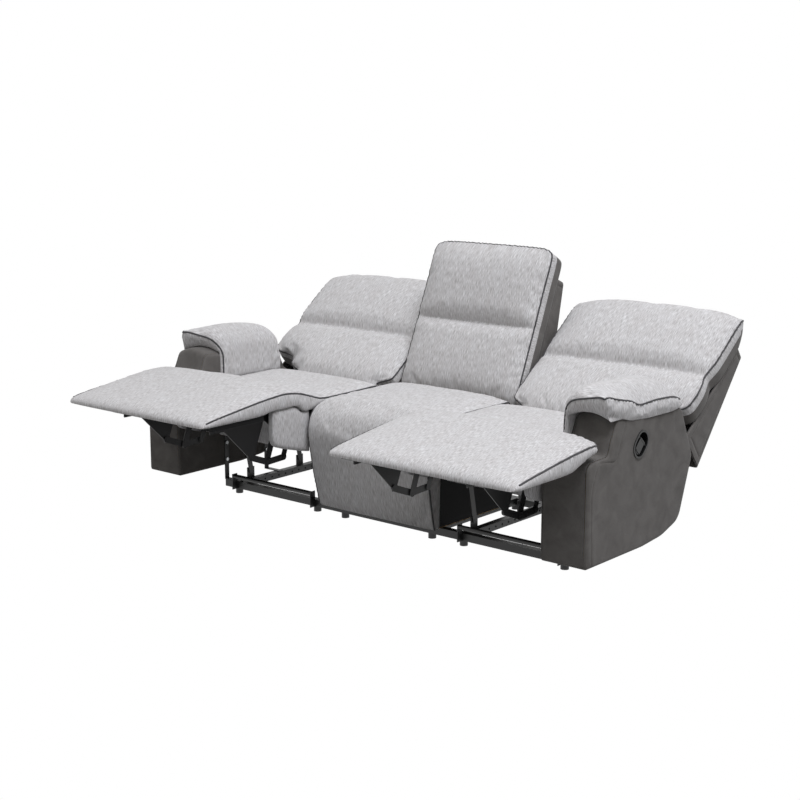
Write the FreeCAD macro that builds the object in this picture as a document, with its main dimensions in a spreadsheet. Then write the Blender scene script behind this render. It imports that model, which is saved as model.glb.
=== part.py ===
"""Three-seat reclining sofa with two motion seats, open and reclined.

Millimetres, +X towards the right arm as seen from the front, -Y to the front, +Z up.
Each of the two end seats is a carriage on swing legs, with a linked footrest and a hinged back.
"""
import FreeCAD, Part
import math
import os
import Sketcher
from FreeCAD import Placement, Rotation, Vector

doc = FreeCAD.newDocument("reclining_sofa")
sheet = doc.addObject("Spreadsheet::Sheet", "Sizes")

# Driving sizes: alias, value in millimetres (or degrees), meaning
SIZES = [
    ("origin_y", 0, "shift that centres the outline over the origin, set after the first recompute"),
    ("seat_pitch", 578, "width of one seat module"),
    ("arm_width", 180, "arm, inner face to outer face"),
    ("module_gap", 3, "gap between a seat module and its neighbour"),
    ("soft_gap", 2, "gap between soft parts that move past each other"),
    ("pivot_clearance", 0.25, "radial clearance of a stud in its hole"),
    ("rail_size", 28, "square base tube"),
    ("rail_wall", 2, "base tube wall"),
    ("glide_height", 20, "floor glide"),
    ("glide_radius", 15, "floor glide"),
    ("base_depth", 520, "front rail centre to rear rail centre"),
    ("rail_reach", 863, "end of the cross rails from the middle"),
    ("mech_half", 218, "side rail centre from the middle of a recliner module"),
    ("centre_rail", 214, "side rail centre of the middle seat"),
    ("rail_hole_radius", 4, "row of holes in a side rail"),
    ("rail_hole_pitch", 40, "row of holes in a side rail"),
    ("spreader_y", -32, "spreader tube behind the footrest"),
    ("spreader_z", 75, "spreader tube height"),
    ("spreader_radius", 9, "spreader tube"),
    ("frame_half", 220, "half width of a recliner seat frame"),
    ("frame_board", 25, "board thickness of the seat frames"),
    ("frame_bottom", 300, "underside of the seat frame boards"),
    ("frame_top", 380, "top of the seat frame boards"),
    ("frame_front", -95, "front of the seat frame"),
    ("frame_rear", 340, "rear of the seat frame"),
    ("plate", 3, "steel plate thickness"),
    ("plane_gap", 1, "gap between link planes"),
    ("link_half", 12, "half width of a link"),
    ("stud_radius", 5, "pivot stud"),
    ("head_radius", 8, "rivet head on a stud"),
    ("head_height", 1.5, "rivet head on a stud"),
    ("knee_y", -315, "footrest hinge"),
    ("knee_z", 430, "footrest hinge"),
    ("crank_y", -58, "bracket pivot from the footrest hinge"),
    ("crank_z", -146, "bracket pivot from the footrest hinge"),
    ("rear_link_y", 178, "rear link pivot from the footrest hinge"),
    ("rear_link_z", -30, "rear link pivot from the footrest hinge"),
    ("front_link_y", 90, "front link pivot from the footrest hinge"),
    ("front_link_z", -34, "front link pivot from the footrest hinge"),
    ("torque_radius", 11, "torque tube"),
    ("torque_wall", 2, "torque tube wall"),
    ("hinge_y", 372, "backrest hinge"),
    ("hinge_z", 430, "backrest hinge"),
    ("leg_length", 150, "swing leg between pivots"),
    ("seat_travel", 60, "travel of the seat carriage"),
    ("front_leg_y", 80, "foot pivot of the front swing leg"),
    ("rear_leg_y", 370, "foot pivot of the rear swing leg"),
    ("leg_foot_z", 75, "foot pivots above the floor"),
    ("board", 18, "footrest board"),
    ("board_top", 440, "footrest board"),
    ("board_front", -595, "footrest board"),
    ("board_rear", -337, "footrest board"),
    ("board_half", 270, "footrest board half width"),
    ("pad_front", -655, "front edge of the footrest pad"),
    ("pad_inner", 281, "inner edge of pad and back, from the module middle"),
    ("pad_outer", 467, "outer edge of the pad, from the module middle"),
    ("ear_rear", -208, "rear of the seat ear over the arm"),
    ("ear_bottom", 458, "underside of the seat ear"),
    ("seat_height", 466, "top of the seat cushion at the back"),
    ("seat_crown", 16, "crown of the seat cushion"),
    ("knee_top", 507, "pad edge at the knee"),
    ("knee_crown", 28, "extra height of the pad middle"),
    ("cushion_rear", 298, "rear of a recliner seat cushion"),
    ("back_foot_y", 322, "recliner back face at seat height"),
    ("recline", 53, "recliner back from the vertical"),
    ("upright", 23, "middle back from the vertical"),
    ("back_length", 611, "back cushion along its face, from seat height"),
    ("back_thick", 105, "back cushion thickness"),
    ("back_seam", 285, "cross seam up the back face"),
    ("back_crown", 20, "how far the back lobes bulge"),
    ("back_outer", 430, "outer edge of a recliner back, from the module middle"),
    ("wing_bottom", 98, "lower edge of the back wing up the face"),
    ("skirt_bottom", 40, "lower edge of the full-width back up the face"),
    ("shell_top", 512, "top of the back shell up the face"),
    ("shell_foot", 56, "bottom of the back shell up the face"),
    ("shell_thin", 150, "depth of the back shell at its top"),
    ("shell_deep", 265, "depth of the back shell at its bottom"),
    ("shell_wall", 8, "back shell wall"),
    ("centre_half", 286, "half width of the middle cushions"),
    ("centre_front", -40, "rear face of the middle front panel"),
    ("centre_rear", 372, "rear of the middle seat cushion"),
    ("centre_foot_y", 390, "middle back face at seat height"),
    ("arm_front", -256, "front of the arm"),
    ("arm_bottom", 105, "underside of the arm"),
    ("arm_top", 556, "top of the arm under its pad"),
    ("arm_rear", 405, "rearmost point of the arm"),
    ("arm_rear_z", 366, "height of the rearmost point of the arm"),
    ("arm_toe_y", 90, "rear end of the arm's flat underside"),
    ("arm_heel_y", 326, "lower rear corner of the arm"),
    ("arm_heel_z", 150, "lower rear corner of the arm"),
    ("arm_crest_y", -85, "front end of the arm's top"),
    ("arm_neck_y", -118, "front of the arm just under its top"),
    ("arm_neck_z", 500, "front of the arm just under its top"),
    ("arm_step_y", -140, "rear of the low step that clears the seat ear"),
    ("arm_step_z", 452, "low step that clears the seat ear"),
    ("arm_nose_z", 415, "top of the arm's front face"),
    ("arm_panel", 18, "side panel of the arm"),
    ("arm_shell_wall", 12, "arm shell"),
    ("arm_pad_top", 668, "top of the arm pad"),
    ("arm_pad_edge", 50, "height of the outer edge of the arm pad"),
    ("skirt_lap", 5, "lower edge of the arm pad's inner skirt above the seat height"),
    ("cup_y", 56, "middle of the handle cup"),
    ("cup_z", 465, "middle of the handle cup"),
    ("cup_tilt", 47, "long axis of the cup above the horizontal"),
    ("cup_radius", 38, "end radius of the cup flange"),
    ("cup_stretch", 24, "distance between the end centres of the cup"),
    ("cup_flange", 3, "cup flange thickness"),
    ("cup_lip", 5, "flange width outside the cup wall"),
    ("cup_depth", 30, "cup depth"),
    ("cup_wall", 2, "cup wall"),
    ("lever_thick", 7, "pull lever"),
    ("lever_radius", 17, "end radius of the pull lever"),
    ("lever_pin", 3, "pin radius of the pull lever"),
    ("wire_radius", 1.8, "seat spring wire"),
    ("bracket_length", 22, "arm bracket along the rail"),
    ("bracket_height", 200, "arm bracket upright"),
    ("rear_bracket_y", 215, "front edge of the rear arm bracket"),
    ("bolt_low", 130, "lower bolt of an arm bracket above the floor"),
    ("bolt_high", 200, "upper bolt of an arm bracket above the floor"),
    ("bolt_head_radius", 7, "arm bolt head"),
    ("bolt_head", 4, "arm bolt head height"),
    ("panel_bottom", 262, "underside of a recliner's front panel"),
    ("panel_thick", 16, "thickness of a recliner's front panel"),
    ("flank_front", -283, "front end of the padded flanks beyond the mechanisms"),
    ("flank_rise", 50, "how much the lower edge of a flank rises to its front end"),
    ("gusset_front", -505, "front end of the sloping edge of a footrest bracket"),
    ("knee_bottom", 450, "underside of the padding at the knee"),
    ("plate_cover", 425, "underside of the seat cushion over the side plates"),
    ("centre_rise", 12, "middle seat frame above the recliner frames"),
    ("panel_hem", 52, "lower edge of the middle front panel"),
]
for row, (alias, amount, meaning) in enumerate(SIZES, start=1):
    sheet.set("A%d" % row, str(amount))
    sheet.setAlias("A%d" % row, alias)
    sheet.set("B%d" % row, meaning)
doc.recompute()


class Size:
    """A size with its number and the sheet expression that gives it."""

    def __init__(self, number, text):
        self.number = number
        self.text = text

    def join(self, other, operator, result):
        return Size(result, "(%s %s %s)" % (self.text, operator, other.text))

    def __add__(self, other):
        other = as_size(other)
        return self.join(other, "+", self.number + other.number)

    def __sub__(self, other):
        other = as_size(other)
        return self.join(other, "-", self.number - other.number)

    def __mul__(self, other):
        other = as_size(other)
        return self.join(other, "*", self.number * other.number)

    def __truediv__(self, other):
        other = as_size(other)
        return self.join(other, "/", self.number / other.number)

    def __neg__(self):
        return Size(-self.number, "(0 - %s)" % self.text)

    __radd__ = __add__
    __rmul__ = __mul__


def as_size(item):
    return item if isinstance(item, Size) else Size(float(item), repr(float(item)))


def size(alias):
    return Size(float(sheet.get(alias)), "Sizes." + alias)


def number(item):
    return as_size(item).number


SUBPARTS = []
ALONG_X = Rotation(Vector(0, 1, 0), 90)


def set_place(item, x=0, y=0, z=0):
    for axis, length in zip("xyz", (x, y, z)):
        item.setExpression("Placement.Base." + axis, as_size(length).text)


def publish(item, label):
    """Name a finished sub-part and centre it over the origin."""
    item.Label = label
    item.setExpression("Placement.Base.y", "Sizes.origin_y")
    SUBPARTS.append(item)
    return item


def box(start, extent):
    item = doc.addObject("Part::Box", "Board")
    for name, length in zip(("Length", "Width", "Height"), extent):
        item.setExpression(name, as_size(length).text)
    set_place(item, *start)
    return item


def rod(radius, length, start):
    """Round bar along X."""
    item = doc.addObject("Part::Cylinder", "Rod")
    item.setExpression("Radius", as_size(radius).text)
    item.setExpression("Height", as_size(length).text)
    item.Placement = Placement(Vector(), ALONG_X)
    set_place(item, *start)
    return item


def post(radius, length, start):
    """Round bar along Z."""
    item = doc.addObject("Part::Cylinder", "Post")
    item.setExpression("Radius", as_size(radius).text)
    item.setExpression("Height", as_size(length).text)
    set_place(item, *start)
    return item


def fuse(items):
    item = doc.addObject("Part::MultiFuse", "Joined")
    item.Shapes = items
    return item


def cut(base, tools):
    item = doc.addObject("Part::Cut", "Cut")
    item.Base = base
    item.Tool = tools[0] if len(tools) == 1 else fuse(tools)
    return item


def group(items):
    item = doc.addObject("Part::Compound", "Group")
    item.Links = items
    return item


def side_start(side, near, thickness):
    """X where a slab starts that spans near to near + thickness on one side of the middle."""
    return near if side > 0 else -(near + thickness)


def new_sketch(body, plane="YZ_Plane"):
    sketch = body.newObject("Sketcher::SketchObject", "Outline")
    origin_plane = [f for f in body.Origin.OriginFeatures if f.Role == plane][0]
    sketch.AttachmentSupport = [(origin_plane, "")]
    sketch.MapMode = "FlatFace"
    return sketch


def bind_last(sketch, length):
    sketch.setExpression("Constraints[%d]" % (sketch.ConstraintCount - 1), as_size(length).text)


def outline_pad(points, thickness, corner=None):
    """PartDesign plate in the YZ plane through bound corner points, thickened along +X."""
    body = doc.addObject("PartDesign::Body", "Plate")
    sketch = new_sketch(body)
    flat = [Vector(number(y), number(z), 0) for y, z in points]
    count = len(flat)
    for index in range(count):
        sketch.addGeometry(Part.LineSegment(flat[index], flat[(index + 1) % count]))
    for index in range(count):
        following = (index + 1) % count
        sketch.addConstraint(Sketcher.Constraint("Coincident", index, 2, following, 1))
    for index, (y, z) in enumerate(points):
        sketch.addConstraint(Sketcher.Constraint("DistanceX", -1, 1, index, 1, number(y)))
        bind_last(sketch, y)
        sketch.addConstraint(Sketcher.Constraint("DistanceY", -1, 1, index, 1, number(z)))
        bind_last(sketch, z)
    pad = body.newObject("PartDesign::Pad", "Thickness")
    pad.Profile = sketch
    pad.setExpression("Length", as_size(thickness).text)
    if corner is not None:
        doc.recompute()
        body.Tip = round_edges_along_x(body, pad, corner)
    return body


def round_edges_along_x(body, feature, radius):
    names = []
    for index, edge in enumerate(feature.Shape.Edges, start=1):
        ends = [v.Point for v in edge.Vertexes]
        if len(ends) == 2 and (ends[1] - ends[0]).cross(Vector(1, 0, 0)).Length < 1e-6:
            names.append("Edge%d" % index)
    fillet = body.newObject("PartDesign::Fillet", "Corners")
    fillet.Base = (feature, names)
    fillet.setExpression("Radius", as_size(radius).text)
    return fillet


def slot_pad(stretch, radius, thickness):
    """PartDesign bar with round ends: end centres on the Y axis, thickened along +X."""
    body = doc.addObject("PartDesign::Body", "Bar")
    sketch = new_sketch(body)
    length, r = number(stretch), number(radius)
    flat = Vector(0, 0, 1)
    near = Part.Circle(Vector(0, 0, 0), flat, r)
    far = Part.Circle(Vector(length, 0, 0), flat, r)
    sketch.addGeometry(Part.ArcOfCircle(near, math.pi / 2, 3 * math.pi / 2))
    sketch.addGeometry(Part.ArcOfCircle(far, -math.pi / 2, math.pi / 2))
    sketch.addGeometry(Part.LineSegment(Vector(0, -r, 0), Vector(length, -r, 0)))
    sketch.addGeometry(Part.LineSegment(Vector(length, r, 0), Vector(0, r, 0)))
    for ends in ((0, 2, 2, 1), (2, 2, 1, 1), (1, 2, 3, 1), (3, 2, 0, 1)):
        sketch.addConstraint(Sketcher.Constraint("Tangent", *ends))
    sketch.addConstraint(Sketcher.Constraint("Coincident", 0, 3, -1, 1))
    sketch.addConstraint(Sketcher.Constraint("PointOnObject", 1, 3, -1))
    sketch.addConstraint(Sketcher.Constraint("Radius", 0, r))
    bind_last(sketch, radius)
    sketch.addConstraint(Sketcher.Constraint("DistanceX", 0, 3, 1, 3, length))
    bind_last(sketch, stretch)
    pad = body.newObject("PartDesign::Pad", "Thickness")
    pad.Profile = sketch
    pad.setExpression("Length", as_size(thickness).text)
    return body


def turned(item, degrees, x, y, z):
    """Turn a bar about the X axis, from +Y towards +Z, and put its first end centre in place."""
    item.Placement = Placement(Vector(), Rotation(Vector(1, 0, 0), degrees))
    set_place(item, x, y, z)
    return item


def direction(start, end):
    across = number(end[0]) - number(start[0])
    rise = number(end[1]) - number(start[1])
    return math.degrees(math.atan2(rise, across)), math.hypot(across, rise)


def span(start, end):
    """Distance between two bound points."""
    across, rise = end[0] - start[0], end[1] - start[1]
    text = "sqrt(%s ^ 2 + %s ^ 2)" % (across.text, rise.text)
    return Size(math.hypot(across.number, rise.number), text)


def bar(start, end, x, thickness, radius=None):
    """Link without holes between two bound pivot points."""
    degrees, _ = direction(start, end)
    item = slot_pad(span(start, end), radius or size("link_half"), thickness)
    return turned(item, degrees, x, start[0], start[1])


def hole(point, x, thickness, radius=None):
    """Drill for a pivot through a plate that starts at x."""
    radius = radius or size("stud_radius") + size("pivot_clearance")
    return rod(radius, thickness + 2, (x - 1, point[0], point[1]))


def stud(point, side, near, far, middle):
    """Stud with a rivet head that spans near to far on one side of a module middle."""
    head = size("head_height")
    shank = rod(size("stud_radius"), far - near, (middle + side_start(side, near, far - near),
                                                  point[0], point[1]))
    cap = rod(size("head_radius"), head, (middle + side_start(side, far, head),
                                          point[0], point[1]))
    return fuse([shank, cap])


def curved_wire(points, bulges, x=None, y=None):
    """Closed wire through points, each side bowed outwards by its bulge, counter-clockwise."""
    edges = []
    count = len(points)
    for index in range(count):
        a, b = points[index], points[(index + 1) % count]
        run = (b[0] - a[0], b[1] - a[1])
        length = math.hypot(*run)
        bulge = bulges[index]
        middle = ((a[0] + b[0]) / 2 + run[1] / length * bulge,
                  (a[1] + b[1]) / 2 - run[0] / length * bulge)
        if x is not None:
            a3, m3, b3 = [Vector(x, p[0], p[1]) for p in (a, middle, b)]
        else:
            a3, m3, b3 = [Vector(p[0], y, p[1]) for p in (a, middle, b)]
        if abs(bulge) < 1e-9:
            edges.append(Part.LineSegment(a3, b3).toShape())
        else:
            edges.append(Part.Arc(a3, m3, b3).toShape())
    return Part.Wire(edges)


def loft(wires):
    return Part.makeLoft(wires, True, True)


def soft(label, shape, rotation=None, base=(0, 0, 0)):
    """Free-form sub-part: its shape comes from the sheet's numbers, its place is bound."""
    item = doc.addObject("Part::Feature", label)
    item.Shape = shape
    item.Placement = Placement(Vector(), rotation or Rotation())
    set_place(item, *base)
    item.Label = label
    item.setExpression("Placement.Base.y", (as_size(base[1]) + size("origin_y")).text)
    SUBPARTS.append(item)
    return item


# Stations across a soft part: share of the width, how far the outline is drawn in there
# (a share of the edge softness) and how much of the crown it has.
STATIONS = ((0.0, 1.0, 0.0), (0.02, 0.35, 0.25), (0.08, 0.0, 0.6), (0.25, 0.0, 0.92),
            (0.5, 0.0, 1.0), (0.75, 0.0, 0.92), (0.92, 0.0, 0.6), (0.98, 0.35, 0.25),
            (1.0, 1.0, 0.0))


def stationed(outline, x_start, x_end):
    """Loft of outline(drawn_in, crown) across the stations from x_start to x_end."""
    wires = []
    for share, drawn_in, crown in STATIONS:
        points, bulges = outline(drawn_in, crown)
        wires.append(curved_wire(points, bulges, x=x_start + share * (x_end - x_start)))
    return loft(wires)


def mirrored_span(side, inner, outer):
    """Start and end X of a soft part from inner to outer beyond a module middle."""
    middle = side * number(size("seat_pitch"))
    ends = (middle + side * inner, middle + side * outer)
    return min(ends), max(ends)


# Where the modules and the arms lie across the sofa
PITCH = size("seat_pitch")
ARM_INNER = PITCH * 1.5
ARM_OUTER = ARM_INNER + size("arm_width")
SIDES = (("left", -1), ("right", 1))

# Link planes beside a seat frame, as distances from the module middle
PLATE = size("plate")
SIDE_PLATE_NEAR = size("frame_half")
SIDE_PLATE_FAR = SIDE_PLATE_NEAR + PLATE
LINK_NEAR = SIDE_PLATE_FAR + size("plane_gap")
LINK_FAR = LINK_NEAR + PLATE
COUPLER_NEAR = LINK_FAR + size("plane_gap")
COUPLER_FAR = COUPLER_NEAR + PLATE
BRACKET_NEAR = COUPLER_FAR + size("plane_gap")
BRACKET_FAR = BRACKET_NEAR + PLATE
STUD_PLAY = 0.3

# Pivots of one recliner mechanism in side view, with the footrest open
KNEE = (size("knee_y"), size("knee_z"))
CRANK = (KNEE[0] + size("crank_y"), KNEE[1] + size("crank_z"))
REAR_PIVOT = (KNEE[0] + size("rear_link_y"), KNEE[1] + size("rear_link_z"))
REAR_JOINT = (REAR_PIVOT[0] + size("crank_y"), REAR_PIVOT[1] + size("crank_z"))
FRONT_PIVOT = (KNEE[0] + size("front_link_y"), KNEE[1] + size("front_link_z"))
FRONT_JOINT = (FRONT_PIVOT[0] + size("crank_y"), FRONT_PIVOT[1] + size("crank_z"))
HINGE = (size("hinge_y"), size("hinge_z"))
LEG_HALF_TRAVEL = size("seat_travel") / 2
LEG_RISE = Size(math.sqrt(number(size("leg_length")) ** 2 - number(LEG_HALF_TRAVEL) ** 2),
                "sqrt(Sizes.leg_length ^ 2 - %s ^ 2)" % LEG_HALF_TRAVEL.text)


def leg_points(foot_y):
    foot = (foot_y, size("leg_foot_z"))
    return foot, (foot_y - LEG_HALF_TRAVEL, size("leg_foot_z") + LEG_RISE)


FRONT_LEG = leg_points(size("front_leg_y"))
REAR_LEG = leg_points(size("rear_leg_y"))


# Base
RAIL = size("rail_size")
RAIL_BOTTOM = size("glide_height")
RAIL_TOP = RAIL_BOTTOM + RAIL


def cross_rails():
    tubes = []
    for middle in (as_size(0), size("base_depth")):
        outer = box((-size("rail_reach"), middle - RAIL / 2, RAIL_BOTTOM),
                    (size("rail_reach") * 2, RAIL, RAIL))
        inner = box((-size("rail_reach") - 1, middle - RAIL / 2 + size("rail_wall"),
                     RAIL_BOTTOM + size("rail_wall")),
                    (size("rail_reach") * 2 + 2, RAIL - size("rail_wall") * 2,
                     RAIL - size("rail_wall") * 2))
        tubes.append(cut(outer, [inner]))
    publish(group(tubes), "cross_rails")


def side_rail_places():
    places = [side * size("centre_rail") for _, side in SIDES]
    for _, side in SIDES:
        places.append(side * (PITCH - size("mech_half")))
        places.append(side * (PITCH + size("mech_half")))
    return places


def side_rails():
    """Square tubes along Y between the cross rails, with a row of holes through their sides."""
    tubes = []
    start = RAIL / 2
    length = size("base_depth") - RAIL
    for place in side_rail_places():
        outer = box((place - RAIL / 2, start, RAIL_BOTTOM), (RAIL, length, RAIL))
        inner = box((place - RAIL / 2 + size("rail_wall"), start - 1,
                     RAIL_BOTTOM + size("rail_wall")),
                    (RAIL - size("rail_wall") * 2, length + 2, RAIL - size("rail_wall") * 2))
        drills = [inner]
        count = int(number(length) / number(size("rail_hole_pitch"))) - 1
        for index in range(count):
            drills.append(rod(size("rail_hole_radius"), RAIL + 2,
                              (place - RAIL / 2 - 1,
                               start + size("rail_hole_pitch") * (index + 1),
                               RAIL_BOTTOM + RAIL / 2)))
        tubes.append(cut(outer, drills))
    publish(group(tubes), "side_rails")


def floor_glides():
    glides = []
    for place in side_rail_places():
        for middle in (as_size(0), size("base_depth")):
            glides.append(post(size("glide_radius"), size("glide_height"), (place, middle, 0)))
    publish(group(glides), "floor_glides")


def spreader_tubes():
    """Round tube under each recliner on two upright tabs, welded in front of the front rail."""
    solids = []
    tab_rear = -RAIL / 2
    tab_front = size("spreader_y") - size("spreader_radius")
    for _, side in SIDES:
        middle = side * PITCH
        reach = size("mech_half")
        tube = rod(size("spreader_radius"), reach * 2,
                   (middle - reach, size("spreader_y"), size("spreader_z")))
        tabs = []
        for start in (middle - reach, middle + reach - PLATE):
            tabs.append(box((start, tab_front, RAIL_BOTTOM),
                            (PLATE, tab_rear - tab_front,
                             size("spreader_z") + size("spreader_radius") - RAIL_BOTTOM)))
        solids.append(fuse([tube] + tabs))
    publish(group(solids), "spreader_tubes")


def bracket_starts():
    return (-RAIL / 2 + 1, size("rear_bracket_y"))


def arm_bracket_solids():
    """Angle brackets that carry each arm on the front rail and on the outer side rail."""
    solids = []
    for _, side in SIDES:
        outer = ARM_INNER
        inner = PITCH + size("mech_half") - RAIL / 2
        for start_y in bracket_starts():
            length = size("bracket_length")
            flange = box((side_start(side, inner, outer - inner), start_y, RAIL_TOP),
                         (outer - inner, length, PLATE))
            upright = box((side_start(side, outer - PLATE, PLATE), start_y, RAIL_TOP),
                          (PLATE, length, size("bracket_height")))
            solids.append(fuse([flange, upright]))
    return solids


def arm_bolts():
    """Two bolts through each arm bracket, drawn with round heads."""
    solids = []
    thick = size("bolt_head")
    for _, side in SIDES:
        for start_y in bracket_starts():
            for height in (size("bolt_low"), size("bolt_high")):
                start = side_start(side, ARM_INNER - PLATE - thick, thick)
                solids.append(rod(size("bolt_head_radius"), thick,
                                  (start, start_y + size("bracket_length") / 2, height)))
    publish(group(solids), "arm_bolts")


# Recliner carriage
def seat_frame(name, side):
    middle = side * PITCH
    half, board = size("frame_half"), size("frame_board")
    bottom, rise = size("frame_bottom"), size("frame_top") - size("frame_bottom")
    front, depth = size("frame_front"), size("frame_rear") - size("frame_front")
    boards = [box((middle - half, front, bottom), (board, depth, rise)),
              box((middle + half - board, front, bottom), (board, depth, rise)),
              box((middle - half, front, bottom), (half * 2, board, rise)),
              box((middle - half, front + depth - board, bottom), (half * 2, board, rise))]
    publish(fuse(boards), name + "_seat_frame")


SPRING_COUNT = 4
SPRING_BEND = 11


def spring_shape(x, front, rear, height):
    """Sinuous spring: one wire of half-turn bends and short runs that lies level along Y."""
    radius = number(size("wire_radius"))
    bend = SPRING_BEND
    reach = 2 * bend
    count = int((rear - front) / (2 * bend))
    start = front + (rear - front - 2 * bend * count) / 2
    edges = []
    for index in range(count):
        sign = 1 if index % 2 == 0 else -1
        near = Vector(x - sign * reach / 2, start + 2 * bend * index, height)
        far = Vector(x + sign * reach / 2, near.y, height)
        edges.append(Part.LineSegment(near, far).toShape())
        tip = Vector(far.x + sign * bend, near.y + bend, height)
        end = Vector(far.x, near.y + 2 * bend, height)
        edges.append(Part.Arc(far, tip, end).toShape())
    wire = Part.Wire(edges)
    first = edges[0].Vertexes[0].Point
    toward = edges[0].Vertexes[1].Point - first
    profile = Part.Wire([Part.Circle(first, toward, radius).toShape()])
    return wire.makePipeShell([profile], True, False)


def springs(label, middle, half, front, rear, seat_top):
    radius = number(size("wire_radius"))
    height = seat_top + radius
    shapes = []
    for index in range(SPRING_COUNT):
        x = middle + half * (2 * (index + 0.5) / SPRING_COUNT - 1)
        shapes.append(spring_shape(x, front, rear, height))
    soft(label, Part.makeCompound(shapes))


DECK_GAP = 0.4
SEAM_GAP = 0.3
CORE_INSET = 4
PLATE_COVER = number(size("plate_cover"))
KNEE_BOTTOM = number(size("knee_bottom"))
STEP_FRONT = -160
STEP_REAR = -140
STEP_CLEARANCE = 3


def seat_outline(drawn_in, crown):
    """Side view of the wide part of a recliner seat cushion, with the raised knee."""
    edge = 7 * drawn_in
    top = number(size("seat_height"))
    knee = number(size("knee_top"))
    lift = number(size("seat_crown")) * crown
    knee_lift = number(size("knee_crown")) * crown
    front = number(size("knee_y")) - 0.2
    rear = number(size("cushion_rear"))
    points = [(front, KNEE_BOTTOM), (STEP_FRONT, KNEE_BOTTOM), (STEP_REAR, PLATE_COVER),
              (rear, PLATE_COVER), (rear, top - edge - 6), (rear - 14, top - edge + lift * 0.4),
              (-43, top - 4 - edge + lift * 0.8), (-236, knee - edge + knee_lift),
              (front, knee - 4 - edge + knee_lift)]
    bulges = [0, 0, 0, 3, 5, 6 + lift * 0.7, -3, 4, 0]
    return points, bulges


def ear_outline(drawn_in, crown):
    """Side view of the ear of the seat cushion over the arm's front."""
    edge = 9 * drawn_in
    knee = number(size("knee_top"))
    lift = 0.4 * number(size("knee_crown")) * crown
    front = number(size("knee_y")) - 0.2
    rear = number(size("ear_rear"))
    bottom = number(size("ear_bottom"))
    points = [(front, bottom), (rear - 30, bottom + edge * 0.5), (rear, bottom + 16),
              (rear - 12, knee - 12 - edge + lift * 0.5), (-250, knee - edge + lift),
              (front, knee - 4 - edge + lift)]
    bulges = [0, 4, 5, 4, 3, 0]
    return points, bulges


def recliner_cushion(name, side):
    half_gap = number(size("module_gap")) + number(size("soft_gap")) / 2
    wide = number(PITCH) / 2 - half_gap
    main = stationed(seat_outline, *mirrored_span(side, -wide, wide))
    ear = stationed(ear_outline, *mirrored_span(side, wide - 40, number(size("pad_outer"))))
    core_half = number(size("frame_half")) - CORE_INSET
    low = number(size("frame_top")) + 2 * number(size("wire_radius")) + DECK_GAP
    front, rear = number(size("frame_front")) + 4, number(size("cushion_rear")) - 4
    start, _ = mirrored_span(side, -core_half, core_half)
    core = Part.makeBox(2 * core_half, rear - front, PLATE_COVER + 6 - low,
                        Vector(start, front, low))
    soft(name + "_seat_cushion", main.fuse([ear, core]).removeSplitter())


def front_panel_outline(drawn_in, crown):
    rear = number(size("frame_front")) - 0.3
    front = rear - number(size("panel_thick")) + 4 * drawn_in
    top = PLATE_COVER - SEAM_GAP
    hem = number(size("panel_bottom"))
    points = [(rear, hem + 2 * drawn_in), (rear, top), (front, top), (front, hem + 8)]
    return points, [0, 0, 7 * crown, 2]


def flank_outline(drawn_in, crown):
    """Side view of the padded flank that covers a mechanism beside the seat."""
    rear = number(size("frame_front")) - SEAM_GAP
    front = number(size("flank_front")) + 10 * drawn_in
    low, high = PLATE_COVER - SEAM_GAP, KNEE_BOTTOM - SEAM_GAP
    hem = number(size("panel_bottom"))
    points = [(rear, hem + 2 * drawn_in), (rear, low), (STEP_REAR - STEP_CLEARANCE, low),
              (STEP_FRONT - STEP_CLEARANCE, high), (front, high),
              (front, hem + number(size("flank_rise")))]
    return points, [0, 0, 0, 0, 6 * crown, 3]


def seat_front_panel(name, side):
    """Upholstered panel under the seat front: a middle piece and a flank beyond each mechanism."""
    inner = number(size("frame_half")) - 5
    flank_start = number(BRACKET_FAR) + 3
    flank_end = number(PITCH) / 2 - number(size("module_gap")) - 8
    shapes = [stationed(front_panel_outline, *mirrored_span(side, -inner, inner))]
    for near, far in ((flank_start, flank_end), (-flank_end, -flank_start)):
        shapes.append(stationed(flank_outline, *mirrored_span(side, near, far)))
    soft(name + "_seat_front_panel", Part.makeCompound(shapes))


SIDE_PLATE_CORNER = 8


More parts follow.
